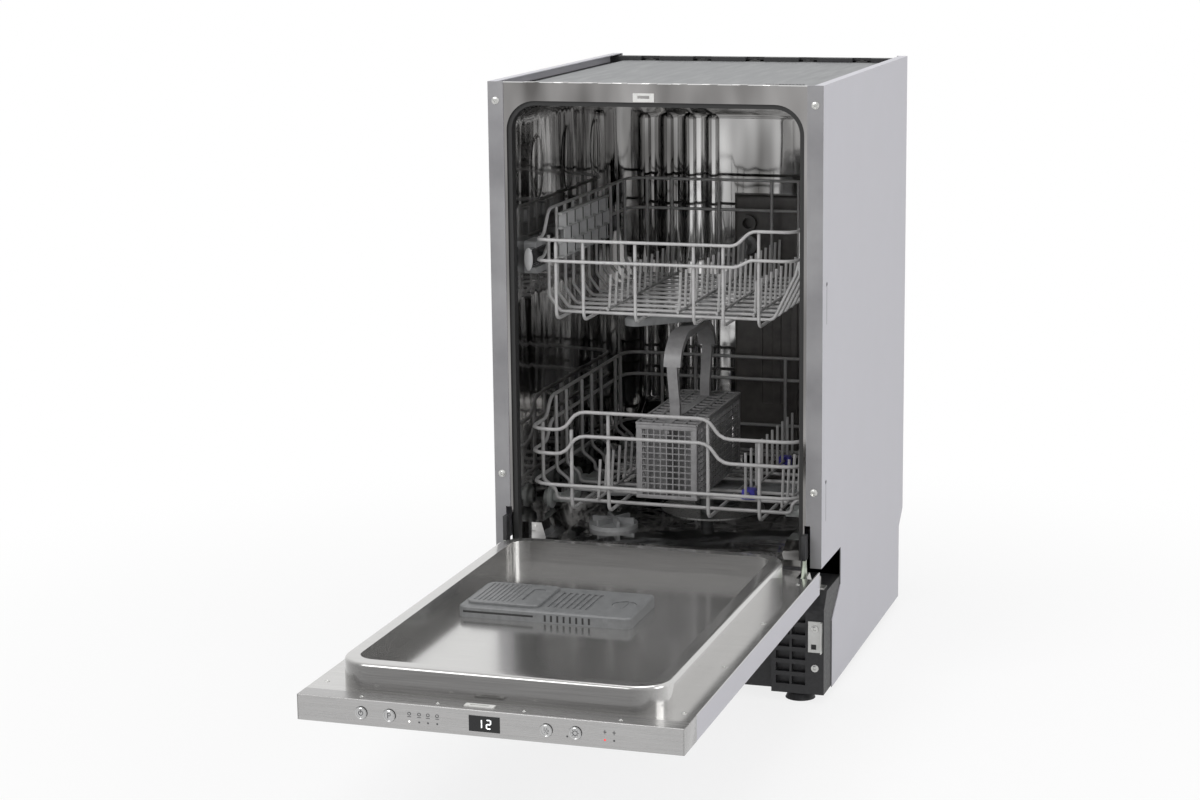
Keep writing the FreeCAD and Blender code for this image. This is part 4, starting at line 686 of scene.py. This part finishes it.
for pair in (1, 2, 3, 4):
    wheel_low, wheel_high = node_box("wheels_%d" % pair)
    wheel_x = wheel_high.x - wheel_half
    axle_y, axle_z = ((wheel_low + wheel_high) / 2).yz
    wheels = bmesh.new()
    for side in (-1, 1):
        turned(wheels, wheel_outline, (side * wheel_x, axle_y, axle_z), (side, 0, 0), steps=28)
        near, far = sorted((side * (wheel_x + spoke_near), side * (wheel_x + spoke_far)))
        for spoke in range(spoke_count):
            rib = block(wheels, (near, axle_y - spoke_half, axle_z + spoke_foot),
                        (far, axle_y + spoke_half, axle_z + spoke_top))
            turn = Matrix.Rotation(math.tau * spoke / spoke_count, 3, "X")
            bmesh.ops.rotate(wheels, cent=(0, axle_y, axle_z), matrix=turn, verts=rib)
    fit(wheels, "hub_wheels_%d" % pair, "wheel_pair_%d" % pair, "wheel_plastic", wheel_moulding,
        "wheels_%d" % pair)

# Cutlery basket: grey lattice moulded in one piece with its posts, rims and dividers, closed by two
# slotted flaps on thin moulded hinges and carried by an arched handle.
basket_low, basket_high = node_box("cutlery_basket")
basket_high.z = node_box("cutlery_flap_left")[0].z
basket_mid = (basket_low.x + basket_high.x) / 2
basket_wall, basket_post, basket_rim = 2.2, 8.0, 3
wall_inset, post_inset, post_drop, rim_inset = 0.5, 0.25, 0.4, 0.15
wall_foot, wall_top = basket_low.z + 4, basket_high.z - 5


def lattice(bm, low, high, run, columns, rise, rows, bar):
    """Crossed bars that fill a thin plate between two corners, the second set thinner than the first."""
    across, thinner = 3 - run - rise, 0.25
    for axis, count, inset in ((run, columns, 0.0), (rise, rows, thinner)):
        pitch = (high[axis] - low[axis]) / count
        for step in range(count + 1):
            start, end = list(low), list(high)
            start[axis] = low[axis] + pitch * step - bar / 2
            end[axis] = low[axis] + pitch * step + bar / 2
            start[across] += inset
            end[across] -= inset
            block(bm, start, end)


basket_grey = surface("basket_grey", (0.29, 0.285, 0.29), (0.36, 0.355, 0.36),
                      rough=(0.34, 0.46), scale=140, bump=0.1)
cutlery = bmesh.new()
for back in (basket_low.y + wall_inset, basket_high.y - basket_wall - wall_inset):
    lattice(cutlery, (basket_low.x + basket_post, back, wall_foot),
            (basket_high.x - basket_post, back + basket_wall, wall_top),
            run=0, columns=8, rise=2, rows=11, bar=1.5)
for side in (basket_low.x + wall_inset, basket_high.x - basket_wall - wall_inset):
    lattice(cutlery, (side, basket_low.y + basket_post, wall_foot),
            (side + basket_wall, basket_high.y - basket_post, wall_top),
            run=1, columns=18, rise=2, rows=11, bar=1.5)
lattice(cutlery, (basket_low.x + basket_rim, basket_low.y + basket_rim, basket_low.z + wall_inset),
        (basket_high.x - basket_rim, basket_high.y - basket_rim, basket_low.z + basket_wall),
        run=0, columns=8, rise=1, rows=18, bar=2.2)
for post_x in (basket_low.x, basket_high.x - basket_post):
    for post_y in (basket_low.y, basket_high.y - basket_post):
        post_low = (post_x + post_inset, post_y + post_inset, basket_low.z + post_drop)
        post_end_x, post_end_y = post_x + basket_post - post_inset, post_y + basket_post - post_inset
        block(cutlery, post_low, (post_end_x, post_end_y, basket_high.z - post_drop), edge=1.2)
top_rim, foot_rim = 6, 5
for rim_low, rim_high in ((basket_high.z - top_rim, basket_high.z), (basket_low.z, basket_low.z + foot_rim)):
    for back in (basket_low.y, basket_high.y - basket_rim):
        block(cutlery, (basket_low.x + rim_inset, back, rim_low),
              (basket_high.x - rim_inset, back + basket_rim, rim_high), edge=0.6)
    for side in (basket_low.x, basket_high.x - basket_rim):
        block(cutlery, (side, basket_low.y + rim_inset, rim_low + rim_inset),
              (side + basket_rim, basket_high.y - rim_inset, rim_high - rim_inset), edge=0.6)
divider_half, divider_inset, long_divider_drop, divider_drop = 0.8, 2, 11, 8
block(cutlery, (basket_mid - divider_half, basket_low.y + divider_inset, basket_low.z + divider_inset),
      (basket_mid + divider_half, basket_high.y - divider_inset, basket_high.z - long_divider_drop))
cell_count, end_gap = 6, 4
cell_pitch = (basket_high.y - basket_low.y - 2 * end_gap) / cell_count
for divider in range(1, cell_count):
    wall_y = basket_low.y + end_gap + cell_pitch * divider
    block(cutlery, (basket_low.x + divider_inset, wall_y - divider_half, basket_low.z + divider_inset),
          (basket_high.x - divider_inset, wall_y + divider_half, basket_high.z - divider_drop))
spine_half, spine_drop, spine_rise = 3, 12, 3
block(cutlery, (basket_mid - spine_half, basket_low.y + divider_inset, basket_high.z - spine_drop),
      (basket_mid + spine_half, basket_high.y - divider_inset, basket_high.z + spine_rise), edge=0.8)
fit(cutlery, "cutlery_lattice", "lower_basket", "grey_plastic", basket_grey, "cutlery_basket")
flap_gap, flap_reach, flap_rim, flap_inset = 4.4, 42, 4, 1.5
slat_foot, slat_top = basket_high.z + 0.4, basket_high.z + 3
flap_foot, flap_top = basket_high.z + 0.2, basket_high.z + 3.2
for side, body in ((-1, "flap_left"), (1, "flap_right")):
    flap = bmesh.new()
    near, far = sorted((basket_mid + side * flap_gap, basket_mid + side * flap_reach))
    lattice(flap, (near, basket_low.y + flap_inset, slat_foot), (far, basket_high.y - flap_inset, slat_top),
            run=0, columns=2, rise=1, rows=13, bar=3.4)
    for end in (basket_low.y, basket_high.y - flap_rim):
        block(flap, (near, end, flap_foot), (far, end + flap_rim, flap_top), edge=0.6)
    fit(flap, "cutlery_" + body, body, "grey_plastic", basket_grey, "cutlery_" + body)


def ease(name, width):
    """Rounds the sharp edges of a CAD node that has its finish."""
    eased = nodes[name].modifiers.new("eased_edges", "BEVEL")
    eased.width = width
    eased.segments = 3
    eased.limit_method = "ANGLE"
    eased.angle_limit = crease


dress(basket_grey, "cutlery_handle")
ease("cutlery_handle", width=0.0022)

# Upper basket: lighter coated wire, welded, with a folding cup shelf moulded in clear grey facets. Its pale
# rollers run in two rolled and chromed rails, which slide in guides on the tub's sides and are closed in
# front by rounded caps.
pale_wire = surface("pale_coated_wire", (0.50, 0.495, 0.495), (0.60, 0.595, 0.595),
                    rough=(0.28, 0.4), scale=90, bump=0.08)
dress(pale_wire, "upper_basket_rims", "upper_basket_wires", "upper_tines")
dress(pale_moulding, "rail_guides", "basket_rollers")
shelf_moulding = surface("shelf_moulding", (0.6, 0.605, 0.61), (0.7, 0.705, 0.71),
                         rough=(0.14, 0.22), scale=90, bump=0.06)
shelf_moulding.node_tree.nodes["Principled BSDF"].inputs["Transmission Weight"].default_value = 0.15
shelf_low, shelf_high = node_box("cup_shelf")
shelf_x, shelf_foot = -166.0, 566.4
slat_count, slat_pitch, tier_count, tier_pitch = 12, 17.66, 3, 19.8
facet_half, facet_thin, facet_lift, facet_height, facet_turn = 5.8, 0.7, 2, 18.4, math.radians(42)
shelf = bmesh.new()
for slat in range(slat_count):
    slat_y = shelf_low.y + slat_pitch * (slat + 0.5)
    for tier in range(tier_count):
        foot = shelf_foot + facet_lift + tier_pitch * tier
        facet = block(shelf, (shelf_x - facet_thin, slat_y - facet_half, foot),
                      (shelf_x + facet_thin, slat_y + facet_half, foot + facet_height))
        turn = Matrix.Rotation(facet_turn if (slat + tier) % 2 else -facet_turn, 3, "Z")
        bmesh.ops.rotate(shelf, cent=(shelf_x, slat_y, 0), matrix=turn, verts=facet)
bar_left, bar_right, bar_height = -170.4, -163.6, 3.2
for tier in range(tier_count + 1):
    level = shelf_foot + tier_pitch * tier
    block(shelf, (bar_left, shelf_low.y, level), (bar_right, shelf_high.y, level + bar_height), edge=0.6)
fit(shelf, "shelf_slats", "shelf", "shelf_plastic", shelf_moulding, "cup_shelf")
cap_size, cap_x = (6, 4.4, 15.5), 187.4
cap_low, cap_high = node_box("rail_end_caps")
cap_y, cap_z = ((cap_low + cap_high) / 2).yz
end_caps = bmesh.new()
for side in (-1, 1):
    cap = bmesh.ops.create_uvsphere(end_caps, u_segments=28, v_segments=14, radius=1)["verts"]
    bmesh.ops.scale(end_caps, vec=cap_size, verts=cap)
    bmesh.ops.translate(end_caps, vec=(side * cap_x, cap_y, cap_z), verts=cap)
fit(end_caps, "round_end_caps", "rails", "pale_plastic", shelf_moulding, "rail_end_caps")
rail_chrome = surface("rail_chrome", (0.6, 0.6, 0.61), (0.7, 0.7, 0.71),
                      rough=(0.08, 0.16), scale=60, metal=1.0, stretch=(1, 0.2, 1), bump=0.01)
# Faces of the rails that look along +X are toned dark: painted reflection of the dark tub between the rails'
# bright edges.
rail_side_painted_reflection = facing_painted_light(rail_chrome, "rail_side_painted_reflection", (0.07, 0.07, 0.072), (0.12, 0.12, 0.122),
                    axis=(1, 0, 0), limit=0.75)
dress(rail_side_painted_reflection, "upper_rails")
ease("upper_rails", width=0.0026)
